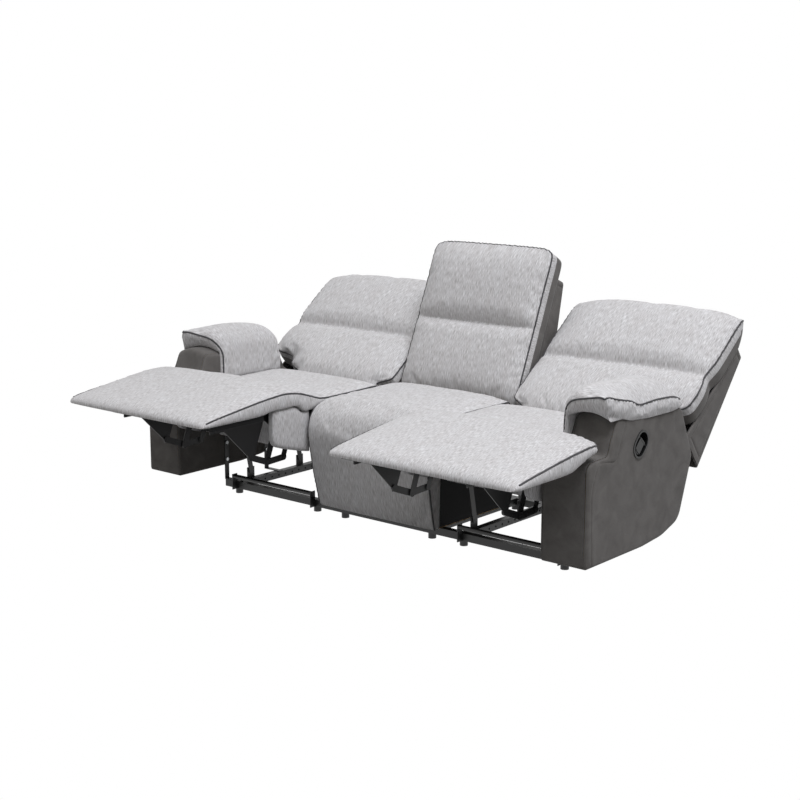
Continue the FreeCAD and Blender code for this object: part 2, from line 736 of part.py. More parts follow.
def side_plates(name, side):
    """Steel side plates that carry every pivot of the carriage, with their studs."""
    y, z = KNEE
    edge = 14
    low = FRONT_LEG[1][1] - edge
    points = [(y - edge, z + edge), (y - edge, z - edge), (y + edge, z - edge),
              (FRONT_PIVOT[0] - 20, z - 58),
              (REAR_PIVOT[0] + 20, z - 58), (FRONT_LEG[1][0] - 24, z - 130),
              (FRONT_LEG[1][0] - edge, low), (REAR_LEG[1][0] + edge, low),
              (HINGE[0] + edge, HINGE[1] - 30), (HINGE[0] + edge, HINGE[1] + edge),
              (HINGE[0] - edge, HINGE[1] + edge), (HINGE[0] - 34, HINGE[1] - 11),
              (as_size(-136), z - 11), (as_size(-168), z + edge)]
    solids = []
    middle = side * PITCH
    for turn in (-1, 1):
        x = middle + side_start(turn, SIDE_PLATE_NEAR, PLATE)
        plate = outline_pad(points, PLATE, SIDE_PLATE_CORNER)
        set_place(plate, x, 0, 0)
        drilled = cut(plate, [hole(FRONT_PIVOT, x, PLATE,
                                   size("torque_radius") + size("pivot_clearance"))])
        studs = [stud(KNEE, turn, SIDE_PLATE_FAR, BRACKET_FAR + STUD_PLAY, middle),
                 stud(REAR_PIVOT, turn, SIDE_PLATE_FAR, LINK_FAR + STUD_PLAY, middle),
                 stud(HINGE, turn, SIDE_PLATE_FAR, LINK_FAR + STUD_PLAY, middle),
                 stud(FRONT_LEG[1], turn, SIDE_PLATE_FAR, COUPLER_FAR + STUD_PLAY, middle),
                 stud(REAR_LEG[1], turn, SIDE_PLATE_FAR, COUPLER_FAR + STUD_PLAY, middle)]
        solids.append(fuse([drilled] + studs))
    publish(group(solids), name + "_side_plates")


def rear_links(name, side):
    """Plain links from the side plates down to the coupler, with a stud at the lower end."""
    middle = side * PITCH
    solids = []
    for turn in (-1, 1):
        x = middle + side_start(turn, LINK_NEAR, PLATE)
        link = cut(bar(REAR_PIVOT, REAR_JOINT, x, PLATE), [hole(REAR_PIVOT, x, PLATE)])
        solids.append(fuse([link, stud(REAR_JOINT, turn, LINK_FAR, COUPLER_FAR + STUD_PLAY,
                                       middle)]))
    publish(group(solids), name + "_rear_links")


def front_links(name, side):
    """Front links welded to the torque tube that ties both sides together."""
    middle = side * PITCH
    tube_radius = size("torque_radius")
    parts = [rod(tube_radius, LINK_NEAR * 2, (middle - LINK_NEAR, FRONT_PIVOT[0],
                                              FRONT_PIVOT[1]))]
    for turn in (-1, 1):
        x = middle + side_start(turn, LINK_NEAR, PLATE)
        parts.append(bar(FRONT_PIVOT, FRONT_JOINT, x, PLATE, size("link_half") + 2))
        parts.append(stud(FRONT_JOINT, turn, LINK_FAR, COUPLER_FAR + STUD_PLAY, middle))
    bore = rod(tube_radius - size("torque_wall"), LINK_FAR * 2 + 2,
               (middle - LINK_FAR - 1, FRONT_PIVOT[0], FRONT_PIVOT[1]))
    publish(cut(fuse(parts), [bore]), name + "_front_links")


def coupler_links(name, side):
    """Bent couplers that keep the footrest bracket and both links in step."""
    middle = side * PITCH
    solids = []
    for turn in (-1, 1):
        x = middle + side_start(turn, COUPLER_NEAR, PLATE)
        blank = fuse([bar(CRANK, FRONT_JOINT, x, PLATE), bar(FRONT_JOINT, REAR_JOINT, x, PLATE)])
        solids.append(cut(blank, [hole(CRANK, x, PLATE), hole(FRONT_JOINT, x, PLATE),
                                  hole(REAR_JOINT, x, PLATE)]))
    publish(group(solids), name + "_coupler_links")


ARM_DEPTH = 19


def footrest_brackets(name, side):
    """Cranked plates under the footrest board, hinged at the knee."""
    y, z = KNEE
    edge = 14
    middle = side * PITCH
    under = size("board_top") - size("board")
    points = [(y - edge, z + edge), (y - edge - 4, under), (size("board_front") + 20, under),
              (size("board_front") + 20, under - ARM_DEPTH),
              (size("gusset_front"), under - ARM_DEPTH),
              (CRANK[0] - 13, CRANK[1] + 4), (CRANK[0] - 6, CRANK[1] - 13),
              (CRANK[0] + 13, CRANK[1] - 6), (y + edge, z - edge + 4), (y + edge, z + edge)]
    solids = []
    for turn in (-1, 1):
        x = middle + side_start(turn, BRACKET_NEAR, PLATE)
        plate = outline_pad(points, PLATE, 3)
        set_place(plate, x, 0, 0)
        inward = BRACKET_NEAR - (COUPLER_NEAR - STUD_PLAY)
        pin = rod(size("stud_radius"), inward,
                  (middle + side_start(turn, COUPLER_NEAR - STUD_PLAY, inward),
                   CRANK[0], CRANK[1]))
        solids.append(fuse([cut(plate, [hole(KNEE, x, PLATE)]), pin]))
    publish(group(solids), name + "_footrest_brackets")


def footrest_board(name, side):
    middle = side * PITCH
    half = size("board_half")
    depth = size("board_rear") - size("board_front")
    slab = box((middle - half, size("board_front"), size("board_top") - size("board")),
               (half * 2, depth, size("board")))
    relief = box((middle - half / 3, size("board_front") + depth * 0.3,
                  size("board_top") - size("board") - 1),
                 (half * 2 / 3, depth * 0.4, size("board") + 2))
    publish(cut(slab, [relief]), name + "_footrest_board")


def pad_outline(drawn_in, crown):
    """Side view of the footrest pad: low at the front edge, high at the knee."""
    edge = 8 * drawn_in
    lift = number(size("knee_crown")) * crown
    knee = number(size("knee_top")) - 4
    rear = number(size("knee_y")) - 0.6
    front = number(size("pad_front"))
    bottom = number(size("board_top")) + 0.3
    heel = number(size("board_rear")) + 4
    points = [(front + 12 + edge, bottom), (heel, bottom), (heel + 4, KNEE_BOTTOM),
              (rear, KNEE_BOTTOM), (rear, knee - edge + lift),
              (front + 30, 462 - edge + lift * 0.5), (front + edge, 449)]
    bulges = [0, 0, 0, 0, 6 + 7 * crown, 5, 3]
    return points, bulges


def footrest_pad(name, side):
    shape = stationed(pad_outline, *mirrored_span(side, -number(size("pad_inner")),
                                                  number(size("pad_outer"))))
    soft(name + "_footrest_pad", shape)


def swing_legs(name, side, points, label):
    """Swing legs from the base to the side plates, slotted at the top for the arc's rise."""
    foot, head = points
    middle = side * PITCH
    degrees, _ = direction(foot, head)
    solids = []
    for turn in (-1, 1):
        x = middle + side_start(turn, COUPLER_NEAR, PLATE)
        blank = bar(foot, head, x, PLATE)
        rise = size("leg_length") - LEG_RISE
        reach = size("stud_radius") + size("pivot_clearance") * 2
        slot = slot_pad(rise + 1, reach, PLATE + 2)
        along = Vector(0, math.cos(math.radians(degrees)), math.sin(math.radians(degrees)))
        back_off = number(rise) + 0.5
        turned(slot, degrees, x - 1, head[0] - back_off * along.y, head[1] - back_off * along.z)
        solids.append(cut(blank, [slot, hole(foot, x, PLATE)]))
    publish(group(solids), "%s_%s_legs" % (name, label))


def leg_riser_solids(side):
    """Uprights on the outer faces of the side rails that carry the foot pivots."""
    middle = side * PITCH
    solids = []
    rail_face = size("mech_half") + RAIL / 2
    for foot in (FRONT_LEG[0], REAR_LEG[0]):
        for turn in (-1, 1):
            plate = box((middle + side_start(turn, rail_face, PLATE), foot[0] - 20, RAIL_BOTTOM),
                        (PLATE, 40, foot[1] + 15 - RAIL_BOTTOM))
            inward = rail_face - (COUPLER_NEAR - STUD_PLAY)
            pin = rod(size("stud_radius"), inward,
                      (middle + side_start(turn, COUPLER_NEAR - STUD_PLAY, inward),
                       foot[0], foot[1]))
            solids.append(fuse([plate, pin]))
    return solids


# Backs, drawn in their own frame: Z up the face, Y into the depth
def back_outline_between(bottom):
    def outline(drawn_in, crown):
        edge = 10 * drawn_in
        bulge = number(size("back_crown")) * (0.35 + 0.65 * crown)
        thick = number(size("back_thick"))
        top = number(size("back_length")) - edge
        seam = number(size("back_seam"))
        points = [(18 + edge * 0.3, bottom), (thick - edge * 0.5, bottom),
                  (thick, top - 40), (60, top), (14 + edge, top - 26),
                  (10 + edge * 0.3, seam)]
        bulges = [6, 0, 9, 8, bulge, bulge]
        return points, bulges
    return outline


def back_rotation(angle_alias):
    return Rotation(Vector(1, 0, 0), -number(size(angle_alias)))


def slab(x_start, x_end, d_start, d_end, s_start, s_end):
    return Part.makeBox(x_end - x_start, d_end - d_start, s_end - s_start,
                        Vector(x_start, d_start, s_start))


BACK_BOTTOM = -22
OVERCUT = 60


def recliner_back_cushion(name, side):
    inner, outer = -number(size("pad_inner")), number(size("back_outer"))
    x_start, x_end = mirrored_span(side, inner, outer)
    whole = stationed(back_outline_between(BACK_BOTTOM), x_start, x_end)
    middle = side * number(PITCH)
    waist = number(size("frame_half")) - CORE_INSET
    arm = number(PITCH) / 2 - number(size("module_gap")) - 2
    low = BACK_BOTTOM - OVERCUT
    thick = number(size("back_thick")) + OVERCUT
    tools = [slab(middle + waist, middle + 600, -OVERCUT, thick, low, number(size("skirt_bottom"))),
             slab(middle - 600, middle - waist, -OVERCUT, thick, low, number(size("skirt_bottom")))]
    beyond = side * arm
    ends = sorted((middle + beyond, middle + side * 600))
    tools.append(slab(ends[0], ends[1], -OVERCUT, thick, low, number(size("wing_bottom"))))
    shape = whole.cut(tools)
    soft(name + "_back_cushion", shape, back_rotation("recline"),
         (0, size("back_foot_y"), size("seat_height")))


def wedge_points(extra, foot):
    """Side view of the back shell: thin at its top, deep at its foot."""
    front = number(size("back_thick")) + SEAM_GAP
    top = number(size("shell_top"))
    return [(front, foot), (number(size("shell_deep")) - extra, foot),
            (number(size("shell_thin")) - extra, top - extra), (front, top - extra)]


def shell_shape(x_start, x_end, foot):
    """Open-fronted, open-bottomed cover: rear wall, two sides and a top."""
    wall = number(size("shell_wall"))
    outer = loft([curved_wire(wedge_points(0, foot), [0, 0, 2, 0], x=x)
                  for x in (x_start, x_end)])
    hollow_points = wedge_points(wall, foot)
    hollow_points[0] = (hollow_points[0][0] - 5, foot - 5)
    hollow_points[1] = (hollow_points[1][0], foot - 5)
    hollow_points[3] = (hollow_points[3][0] - 5, hollow_points[3][1])
    hollow = loft([curved_wire(hollow_points, [0, 0, 0, 0], x=x)
                   for x in (x_start + wall, x_end - wall)])
    return outer.cut(hollow)


def recliner_back_shell(name, side):
    inner = -number(size("pad_inner")) + 3
    outer = number(size("back_outer")) - 3
    shape = shell_shape(*mirrored_span(side, inner, outer), number(size("shell_foot")))
    soft(name + "_back_shell", shape, back_rotation("recline"),
         (0, size("back_foot_y"), size("seat_height")))


BACK_TUBE = 20
BACK_FRAME_FRONT = number(size("back_thick")) + SEAM_GAP


def frame_bars(middle, half, foot, top, levels):
    """Ladder of square tubes inside a back, in the back's own frame."""
    shapes = []
    for turn in (-1, 1):
        near = middle + turn * (half - BACK_TUBE / 2)
        shapes.append(slab(near - BACK_TUBE / 2, near + BACK_TUBE / 2, BACK_FRAME_FRONT,
                           BACK_FRAME_FRONT + BACK_TUBE, foot, top))
    for level in levels:
        shapes.append(slab(middle - half, middle + half, BACK_FRAME_FRONT,
                           BACK_FRAME_FRONT + BACK_TUBE, level, level + BACK_TUBE))
    return shapes


def hinge_in_back():
    """The hinge point in the back's own frame: depth and height up the face."""
    tilt = math.radians(number(size("recline")))
    across = number(HINGE[0]) - number(size("back_foot_y"))
    rise = number(HINGE[1]) - number(size("seat_height"))
    depth = across * math.cos(tilt) - rise * math.sin(tilt)
    up = across * math.sin(tilt) + rise * math.cos(tilt)
    return depth, up


EAR_REACH = 190


def recliner_back_frame(name, side):
    """Steel ladder with a cranked hinge ear on each side."""
    middle = side * number(PITCH)
    half = number(LINK_NEAR)
    top = number(size("shell_top")) - number(size("shell_wall")) - SEAM_GAP
    shapes = frame_bars(middle, half, 60, top, (90, 290, top - BACK_TUBE))
    depth, up = hinge_in_back()
    plate = number(PLATE)
    limit = number(size("skirt_bottom")) - 2
    far = BACK_FRAME_FRONT + BACK_TUBE
    outline = [(depth - 13, up - 9), (depth + 8, up - 13), (far, limit - 18), (far, EAR_REACH),
               (BACK_FRAME_FRONT, EAR_REACH), (BACK_FRAME_FRONT, limit),
               (depth + 4, limit), (depth - 13, up + 9)]
    bore = number(size("stud_radius")) + number(size("pivot_clearance"))
    for turn in (-1, 1):
        start = middle + (half if turn > 0 else -half - plate)
        face = Part.Face(curved_wire(outline, [0] * len(outline), x=start))
        ear = face.extrude(Vector(plate, 0, 0))
        drill = Part.makeCylinder(bore, plate + 2, Vector(start - 1, depth, up), Vector(1, 0, 0))
        shapes.append(ear.cut(drill))
    frame = shapes[0].fuse(shapes[1:]).removeSplitter()
    soft(name + "_back_frame", frame, back_rotation("recline"),
         (0, size("back_foot_y"), size("seat_height")))


# Middle seat
CENTRE_RISE = size("centre_rise")
CENTRE_FRAME_HALF = size("centre_half") - 24


def centre_seat_frame():
    half = CENTRE_FRAME_HALF
    board = size("frame_board")
    front = size("centre_front") + 0.3
    rear = size("centre_rear") - 2
    low = RAIL_TOP
    top = size("frame_top") + CENTRE_RISE
    boards = []
    for turn in (-1, 1):
        x = side_start(turn, half - board, board)
        boards.append(box((x, front, low), (board, rear - front, top - low)))
        boards.append(box((x, rear - 10, size("frame_bottom")),
                          (board, 150, size("frame_top") - size("frame_bottom"))))
    for start in (front, rear - board):
        boards.append(box((-half, start, top - 90), (half * 2, board, 90)))
        boards.append(box((-half, start, low), (half * 2, board, 60)))
    publish(fuse(boards), "centre_seat_frame")


def centre_cushion_outline(drawn_in, crown):
    edge = 6 * drawn_in
    top = number(size("seat_height"))
    lift = number(size("seat_crown")) * crown
    low = number(size("frame_top") + CENTRE_RISE) + 2 * number(size("wire_radius")) + DECK_GAP
    front = number(size("centre_front")) + SEAM_GAP
    rear = number(size("centre_rear"))
    points = [(front, low), (rear, low), (rear, top - 14 - edge),
              (rear - 16, top - 3 - edge + lift * 0.3), (front, top - 10 - edge + lift * 0.3)]
    return points, [0, 3, 4, 7 + lift, 0]


def centre_front_outline(drawn_in, crown):
    """Rolled front of the middle seat, widest just under the seat."""
    edge = 6 * drawn_in
    swell = 6 * crown
    rear = number(size("centre_front"))
    top = number(size("seat_height")) - 10
    hem = number(size("panel_hem"))
    points = [(rear, hem), (rear, top - edge + number(size("seat_crown")) * crown * 0.3),
              (rear - 64 + edge, top - 32 - edge), (rear - 90 + edge - swell, top - 104),
              (rear - 26 + edge * 0.5, hem)]
    return points, [0, 9, 5, 6, 0]


def centre_soft_parts():
    half = number(size("centre_half"))
    soft("centre_seat_cushion", stationed(centre_cushion_outline, -half, half))
    soft("centre_front_panel", stationed(centre_front_outline, -half, half))
    whole = stationed(back_outline_between(BACK_BOTTOM), -half + 1, half - 1)
    base = (0, size("centre_foot_y"), size("seat_height"))
    soft("centre_back_cushion", whole, back_rotation("upright"), base)
    shell = shell_shape(-half + 5, half - 5, BACK_BOTTOM)
    soft("centre_back_shell", shell, back_rotation("upright"), base)


def centre_side_linings():
    """Black non-woven panels that close the sides of the middle seat."""
    lining = 2
    outer = CENTRE_FRAME_HALF
    front = size("centre_front") + 1
    panels = []
    for turn in (-1, 1):
        panels.append(box((side_start(turn, outer, as_size(lining)), front, RAIL_TOP + 4),
                          (lining, size("centre_rear") - 4 - front,
                           size("frame_top") + 10 - RAIL_TOP - 4)))
    publish(group(panels), "centre_side_linings")


def centre_back_frame():
    """Steel ladder whose feet bolt to the inside of the seat frame's rear arms."""
    half = number(CENTRE_FRAME_HALF - size("frame_board"))
    top = number(size("shell_top")) - number(size("shell_wall")) - SEAM_GAP
    shapes = frame_bars(0, half, -120, top, (-10, 250, top - BACK_TUBE))
    frame = shapes[0].fuse(shapes[1:]).removeSplitter()
    soft("centre_back_frame", frame, back_rotation("upright"),
         (0, size("centre_foot_y"), size("seat_height")))


# Arms
def arm_outline():
    """Side view of the arm, counter-clockwise from the lower front corner."""
    front, low, top = number(size("arm_front")), number(size("arm_bottom")), number(size("arm_top"))
    heel, rear = number(size("arm_heel_y")), number(size("arm_rear"))
    neck, step = number(size("arm_neck_y")), number(size("arm_step_y"))
    ledge = number(size("arm_step_z"))
    points = [(front, low), (number(size("arm_toe_y")), low), (heel, number(size("arm_heel_z"))),
              (rear, number(size("arm_rear_z"))), (rear - 83, top - 14), (rear - 107, top),
              (number(size("arm_crest_y")), top), (neck, number(size("arm_neck_z"))),
              (step, ledge + 3), (front + 26, ledge), (front, number(size("arm_nose_z")))]
    bulges = [0, 14, 5, 2, 3, 0, 8, 0, -9, 9, 0]
    return points, bulges


def arm_wire(x):
    points, bulges = arm_outline()
    return curved_wire(points, bulges, x=x)


def arm_slab(near, thickness, side, wire_at=arm_wire):
    start = side * near if side > 0 else side * (near + thickness)
    return Part.Face(wire_at(start)).extrude(Vector(thickness, 0, 0))


def arm_shell(name, side):
    """Upholstered band that wraps the front, rear, top and underside of the arm."""
    near = number(ARM_INNER) + number(size("arm_panel"))
    width = number(size("arm_width")) - 2 * number(size("arm_panel"))
    wall = number(size("arm_shell_wall"))
    outer = arm_slab(near, width, side)

    def inner_wire(x):
        return arm_wire(x).makeOffset2D(-wall)

    shape = outer.cut(arm_slab(near - 1, width + 2, side, inner_wire))
    soft(name + "_arm_shell", shape)


def cup_slot(stretch, radius, x_start, length):
    """Oval bar for the cup, centred on it, drawn in numbers for cutting the side panel."""
    tilt = math.radians(number(size("cup_tilt")))
    along = Vector(0, math.cos(tilt), math.sin(tilt))
    across = Vector(0, -math.sin(tilt), math.cos(tilt))
    middle = Vector(x_start, number(size("cup_y")), number(size("cup_z")))
    ends = [middle - along * (stretch / 2), middle + along * (stretch / 2)]
    corners = [ends[0] + across * radius, ends[0] - across * radius,
               ends[1] - across * radius, ends[1] + across * radius]
    edges = [Part.Arc(corners[0], ends[0] - along * radius, corners[1]).toShape(),
             Part.LineSegment(corners[1], corners[2]).toShape(),
             Part.Arc(corners[2], ends[1] + along * radius, corners[3]).toShape(),
             Part.LineSegment(corners[3], corners[0]).toShape()]
    return Part.Face(Part.Wire(edges)).extrude(Vector(length, 0, 0))


def skirt_bottom():
    """Height where the arm pad's inner skirt meets the inner side panel."""
    return number(size("seat_height") + size("skirt_lap"))


def arm_panels(name, side):
    panel = number(size("arm_panel"))
    inner_near = number(ARM_INNER)
    outer_near = number(ARM_OUTER) - panel
    outer = arm_slab(outer_near, panel, side)
    barrel = number(size("cup_radius")) - number(size("cup_lip")) + 0.4
    start = side * (outer_near - 1) if side > 0 else side * (outer_near + panel + 1)
    outer = outer.cut(cup_slot(number(size("cup_stretch")), barrel, start, panel + 2))
    soft(name + "_arm_outer_panel", outer)
    inner = arm_slab(inner_near, panel, side)
    start = side * (inner_near - 1) if side > 0 else side * (inner_near + panel + 1)
    above = Part.makeBox(panel + 2, 900, 300, Vector(start, -400, skirt_bottom() - 1))
    soft(name + "_arm_inner_panel", inner.cut(above))


def arm_frame(name, side):
    """Wooden frame inside the arm: two posts, a bottom rail and a top rail."""
    near = ARM_INNER + size("arm_panel")
    width = size("arm_width") - size("arm_panel") * 2
    board = size("frame_board")
    wall = size("arm_shell_wall")
    x = side_start(side, near, width)
    low = size("arm_bottom") + wall
    front = size("arm_front") + wall + 1
    under = size("arm_top") - wall - 2
    post_y = size("arm_crest_y") + 5
    rear_y = size("arm_heel_y") - 76
    boards = [box((x, front, low), (width, board, size("arm_nose_z") - 18 - low)),
              box((x, rear_y, low + 36), (width, board, under - low - 36)),
              box((x, front, low), (width, size("arm_toe_y") - 17 - front, board)),
              box((x, post_y, under - board), (width, rear_y + board - post_y, board)),
              box((x, post_y, low), (width, board, under - low))]
    publish(fuse(boards), name + "_arm_frame")


# Arm pad stations along Y: place, top drop, how far the pad hangs over the outer face
PAD_STATIONS = ((-142, 34, -8), (-122, 10, 0), (-60, 0, 2), (60, -2, 2), (190, 10, 2),
                (290, 26, 0), (324, 44, -8))


def arm_pad(name, side):
    """Pillow over the arm: crowned top, thick outer edge and a skirt down the inner face."""
    inner = number(ARM_INNER) + 1
    outer = number(ARM_OUTER) - 5
    under = number(size("arm_top")) + DECK_GAP
    step = number(ARM_INNER) + number(size("arm_panel"))
    hem = skirt_bottom()
    wires = []
    for y, drop, reach in PAD_STATIONS:
        top = number(size("arm_pad_top")) - drop
        edge = under + number(size("arm_pad_edge")) - drop / 2
        points = [(inner, hem), (step, hem), (step, under), (outer + reach, under),
                  (outer + reach, edge), (outer - 60, top), (inner + 40, top - 4),
                  (inner, top - 34)]
        bulges = [0, 0, 0, 3, 6, 3, 6, 0]
        wires.append(curved_wire(points, bulges, y=y))
    pad = loft(wires)
    if side < 0:
        pad = pad.mirror(Vector(0, 0, 0), Vector(1, 0, 0))
    soft(name + "_arm_pad", pad)


def handle_cup(name, side):
    """Moulded oval cup let into the outer side panel, with a flange on the face."""
    outer = number(ARM_OUTER)
    stretch = number(size("cup_stretch"))
    flange = number(size("cup_flange"))
    radius = number(size("cup_radius"))
    barrel = radius - number(size("cup_lip"))
    depth = number(size("cup_depth"))
    wall = number(size("cup_wall"))

    def oval(r, near, far):
        start = side * near if side > 0 else side * far
        return cup_slot(stretch, r, start, far - near)

    body = oval(radius, outer, outer + flange).fuse(oval(barrel, outer + flange - depth,
                                                          outer + flange))
    body = body.cut(oval(barrel - wall, outer + flange - depth + wall, outer + flange + 1))
    body = body.fuse(lever_pin_shape(side, barrel - wall + 0.5))
    soft(name + "_handle_cup", body)


def lever_axis(side):
    """Point on the lever's pin and the direction of the pin."""
    tilt = math.radians(number(size("cup_tilt")))
    along = Vector(0, math.cos(tilt), math.sin(tilt))
    across = Vector(0, -math.sin(tilt), math.cos(tilt))
    depth = number(ARM_OUTER) + number(size("cup_flange")) - number(size("lever_thick")) / 2 - 3
    middle = Vector(side * depth, number(size("cup_y")), number(size("cup_z")))
    return middle + along * (number(size("cup_stretch")) / 2 + 2), along, across


def lever_pin_shape(side, reach):
    point, _, across = lever_axis(side)
    return Part.makeCylinder(number(size("lever_pin")), 2 * reach, point - across * reach, across)


def handle_lever(name, side):
    """Pull lever: a flat paddle with a barrel round its pin and a finger lip at its free end."""
    point, along, across = lever_axis(side)
    radius = number(size("lever_radius"))
    thick = number(size("lever_thick"))
    out = Vector(side, 0, 0)
    tip = point - along * (number(size("cup_stretch")) + 10)
    low = -out * (thick / 2)
    edges = []
    a, b = point + across * radius + low, point - across * radius + low
    c, d = tip - across * radius + low, tip + across * radius + low
    edges.append(Part.LineSegment(a, b).toShape())
    edges.append(Part.LineSegment(b, c).toShape())
    edges.append(Part.Arc(c, tip - along * radius + low, d).toShape())
    edges.append(Part.LineSegment(d, a).toShape())
    paddle = Part.Face(Part.Wire(edges)).extrude(out * thick)
    barrel = Part.makeCylinder(thick * 0.75, 2 * radius, point - across * radius, across)
    lip = Part.makeCylinder(2.5, 2 * radius - 8, tip - along * (radius - 8) + out * (thick / 2)
                            - across * (radius - 4), across)
    bore = Part.makeCylinder(number(size("lever_pin")) + 0.08, 2 * radius + 2,
                             point - across * (radius + 1), across)
    soft(name + "_handle", paddle.fuse([barrel, lip]).cut(bore))


def base_brackets():
    solids = arm_bracket_solids()
    for _, side in SIDES:
        solids += leg_riser_solids(side)
    publish(group(solids), "base_brackets")


def build():
    cross_rails()
    side_rails()
    floor_glides()
    spreader_tubes()
    base_brackets()
    arm_bolts()
    centre_seat_frame()
    centre_soft_parts()
    centre_side_linings()
    centre_back_frame()
    top = number(size("frame_top"))
    springs("centre_seat_springs", 0, number(CENTRE_FRAME_HALF) - 10,
            number(size("centre_front")) + 8, number(size("centre_rear")) - 10,
            top + number(CENTRE_RISE))
    for name, side in SIDES:
        seat_frame(name, side)
        springs(name + "_seat_springs", side * number(PITCH), number(size("frame_half")) - 10,
                number(size("frame_front")) + 6, number(size("frame_rear")) - 6, top)
        recliner_cushion(name, side)
        seat_front_panel(name, side)
        side_plates(name, side)
        rear_links(name, side)
        front_links(name, side)
        coupler_links(name, side)
        footrest_brackets(name, side)
        footrest_board(name, side)
        footrest_pad(name, side)
        swing_legs(name, side, FRONT_LEG, "front")
        swing_legs(name, side, REAR_LEG, "rear")
        recliner_back_frame(name, side)
        recliner_back_cushion(name, side)
        recliner_back_shell(name, side)
        arm_frame(name, side)
        arm_shell(name, side)
        arm_panels(name, side)
        arm_pad(name, side)
        handle_cup(name, side)
        handle_lever(name, side)


def centre_over_origin():
    """Shift every sub-part so that the whole outline is centred over the origin in Y."""
    doc.recompute()
    whole = FreeCAD.BoundBox()
    for item in SUBPARTS:
        whole.add(item.Shape.optimalBoundingBox())
    sheet.set("origin_y", repr(round(-(whole.YMin + whole.YMax) / 2, 4)))
    doc.recompute()
    return whole


def check_objects():
    for item in doc.Objects:
        bad = [state for state in item.State if state in ("Invalid", "Error")]
        if bad:
            raise RuntimeError("%s (%s) is %s" % (item.Name, item.Label, bad))
    for item in SUBPARTS:
        if item.Shape.isNull() or not item.Shape.isValid() or not item.Shape.Solids:
            raise RuntimeError("%s has no valid solid" % item.Label)


def export():
    os.makedirs("parts", exist_ok=True)
    for item in SUBPARTS:
        item.Shape.exportStep("parts/%s.step" % item.Label)
        print("%-28s %2d solids %10.0f mm3" % (item.Label, len(item.Shape.Solids),
                                               item.Shape.Volume))


build()
outline = centre_over_origin()
check_objects()
export()
print("sub-parts", len(SUBPARTS), "origin shift", sheet.get("origin_y"))
print("outline", outline)
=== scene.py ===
"""Three-seat reclining sofa with two motion seats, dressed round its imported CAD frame.

Shapes are written in millimetres from the front rail: x from the middle of the sofa, y to the
rear, z up from the floor. The function at() turns them to the metres of the frame.
"""
import math

import bmesh
import bpy
from mathutils import Matrix, Vector, noise
from mathutils.geometry import delaunay_2d_cdt
from mathutils.kdtree import KDTree


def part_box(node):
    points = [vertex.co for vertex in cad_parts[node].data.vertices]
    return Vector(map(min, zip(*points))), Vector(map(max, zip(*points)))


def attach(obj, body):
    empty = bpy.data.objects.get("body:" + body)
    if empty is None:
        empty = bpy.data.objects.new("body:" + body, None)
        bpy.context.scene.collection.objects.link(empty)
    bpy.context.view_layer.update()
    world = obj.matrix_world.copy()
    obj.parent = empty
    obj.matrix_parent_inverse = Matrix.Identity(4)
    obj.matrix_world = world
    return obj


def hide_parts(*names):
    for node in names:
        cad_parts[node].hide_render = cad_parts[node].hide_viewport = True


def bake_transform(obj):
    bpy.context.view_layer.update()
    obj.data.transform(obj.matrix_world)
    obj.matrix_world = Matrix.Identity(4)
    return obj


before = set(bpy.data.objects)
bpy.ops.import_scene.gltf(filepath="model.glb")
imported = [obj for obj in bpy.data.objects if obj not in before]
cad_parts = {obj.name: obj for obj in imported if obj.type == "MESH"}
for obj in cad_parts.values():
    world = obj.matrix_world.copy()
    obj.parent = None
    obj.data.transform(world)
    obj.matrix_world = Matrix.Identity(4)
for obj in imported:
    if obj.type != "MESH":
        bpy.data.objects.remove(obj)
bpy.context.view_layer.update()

# Welded base. Square and round steel tubes with flat brackets, coated with baked black powder,
# which gives a satin skin with a very fine orange peel. It stands on round plastic glides.
SIDES = ("left", "right")


def linear(code):
    """Linear colour of an sRGB hex code."""
    parts = [int(code[start:start + 2], 16) / 255 for start in (1, 3, 5)]
    return tuple(p / 12.92 if p <= 0.04045 else ((p + 0.055) / 1.055) ** 2.4
                 for p in parts) + (1.0,)


def add(tree, kind, inputs=None, **settings):
    """Add a node with its settings, and set or link its inputs."""
    node = tree.nodes.new(kind)
    for name, value in settings.items():
        setattr(node, name, value)
    for name, value in (inputs or {}).items():
        if isinstance(value, bpy.types.NodeSocket):
            tree.links.new(value, node.inputs[name])
        else:
            node.inputs[name].default_value = value
    return node


def new_material(name, **shader_inputs):
    """Material with one principled shader, whose inputs are given by name."""
    material = bpy.data.materials.new(name)
    material.use_nodes = True
    tree = material.node_tree
    tree.nodes.clear()
    inputs = {key.replace("_", " "): value for key, value in shader_inputs.items()}
    shader = add(tree, "ShaderNodeBsdfPrincipled", inputs)
    add(tree, "ShaderNodeOutputMaterial", {"Surface": shader.outputs["BSDF"]})
    return material, tree, shader


def two_colours(tree, amount, dark, pale):
    """Colour between two hex codes by a 0 to 1 amount."""
    mix = add(tree, "ShaderNodeMix", {"Factor": amount}, data_type="RGBA")
    mix.inputs[6].default_value = linear(dark)
    mix.inputs[7].default_value = linear(pale)
    return mix.outputs[2]


def surface(tree, shader, colour, height, depth):
    """Give a shader its colour and its bump, of a given depth in metres."""
    tree.links.new(colour, shader.inputs["Base Color"])
    bump = add(tree, "ShaderNodeBump", {"Height": height, "Distance": depth, "Strength": 1.0})
    tree.links.new(bump.outputs["Normal"], shader.inputs["Normal"])


def textured(name, dark, pale, texture, depth, **shader_inputs):
    """Finish whose colour and relief follow texture(tree, place), an output of 0 to 1."""
    material, tree, shader = new_material(name, **shader_inputs)
    value = texture(tree, add(tree, "ShaderNodeTexCoord").outputs["Object"])
    surface(tree, shader, two_colours(tree, value, dark, pale), value, depth)
    return material


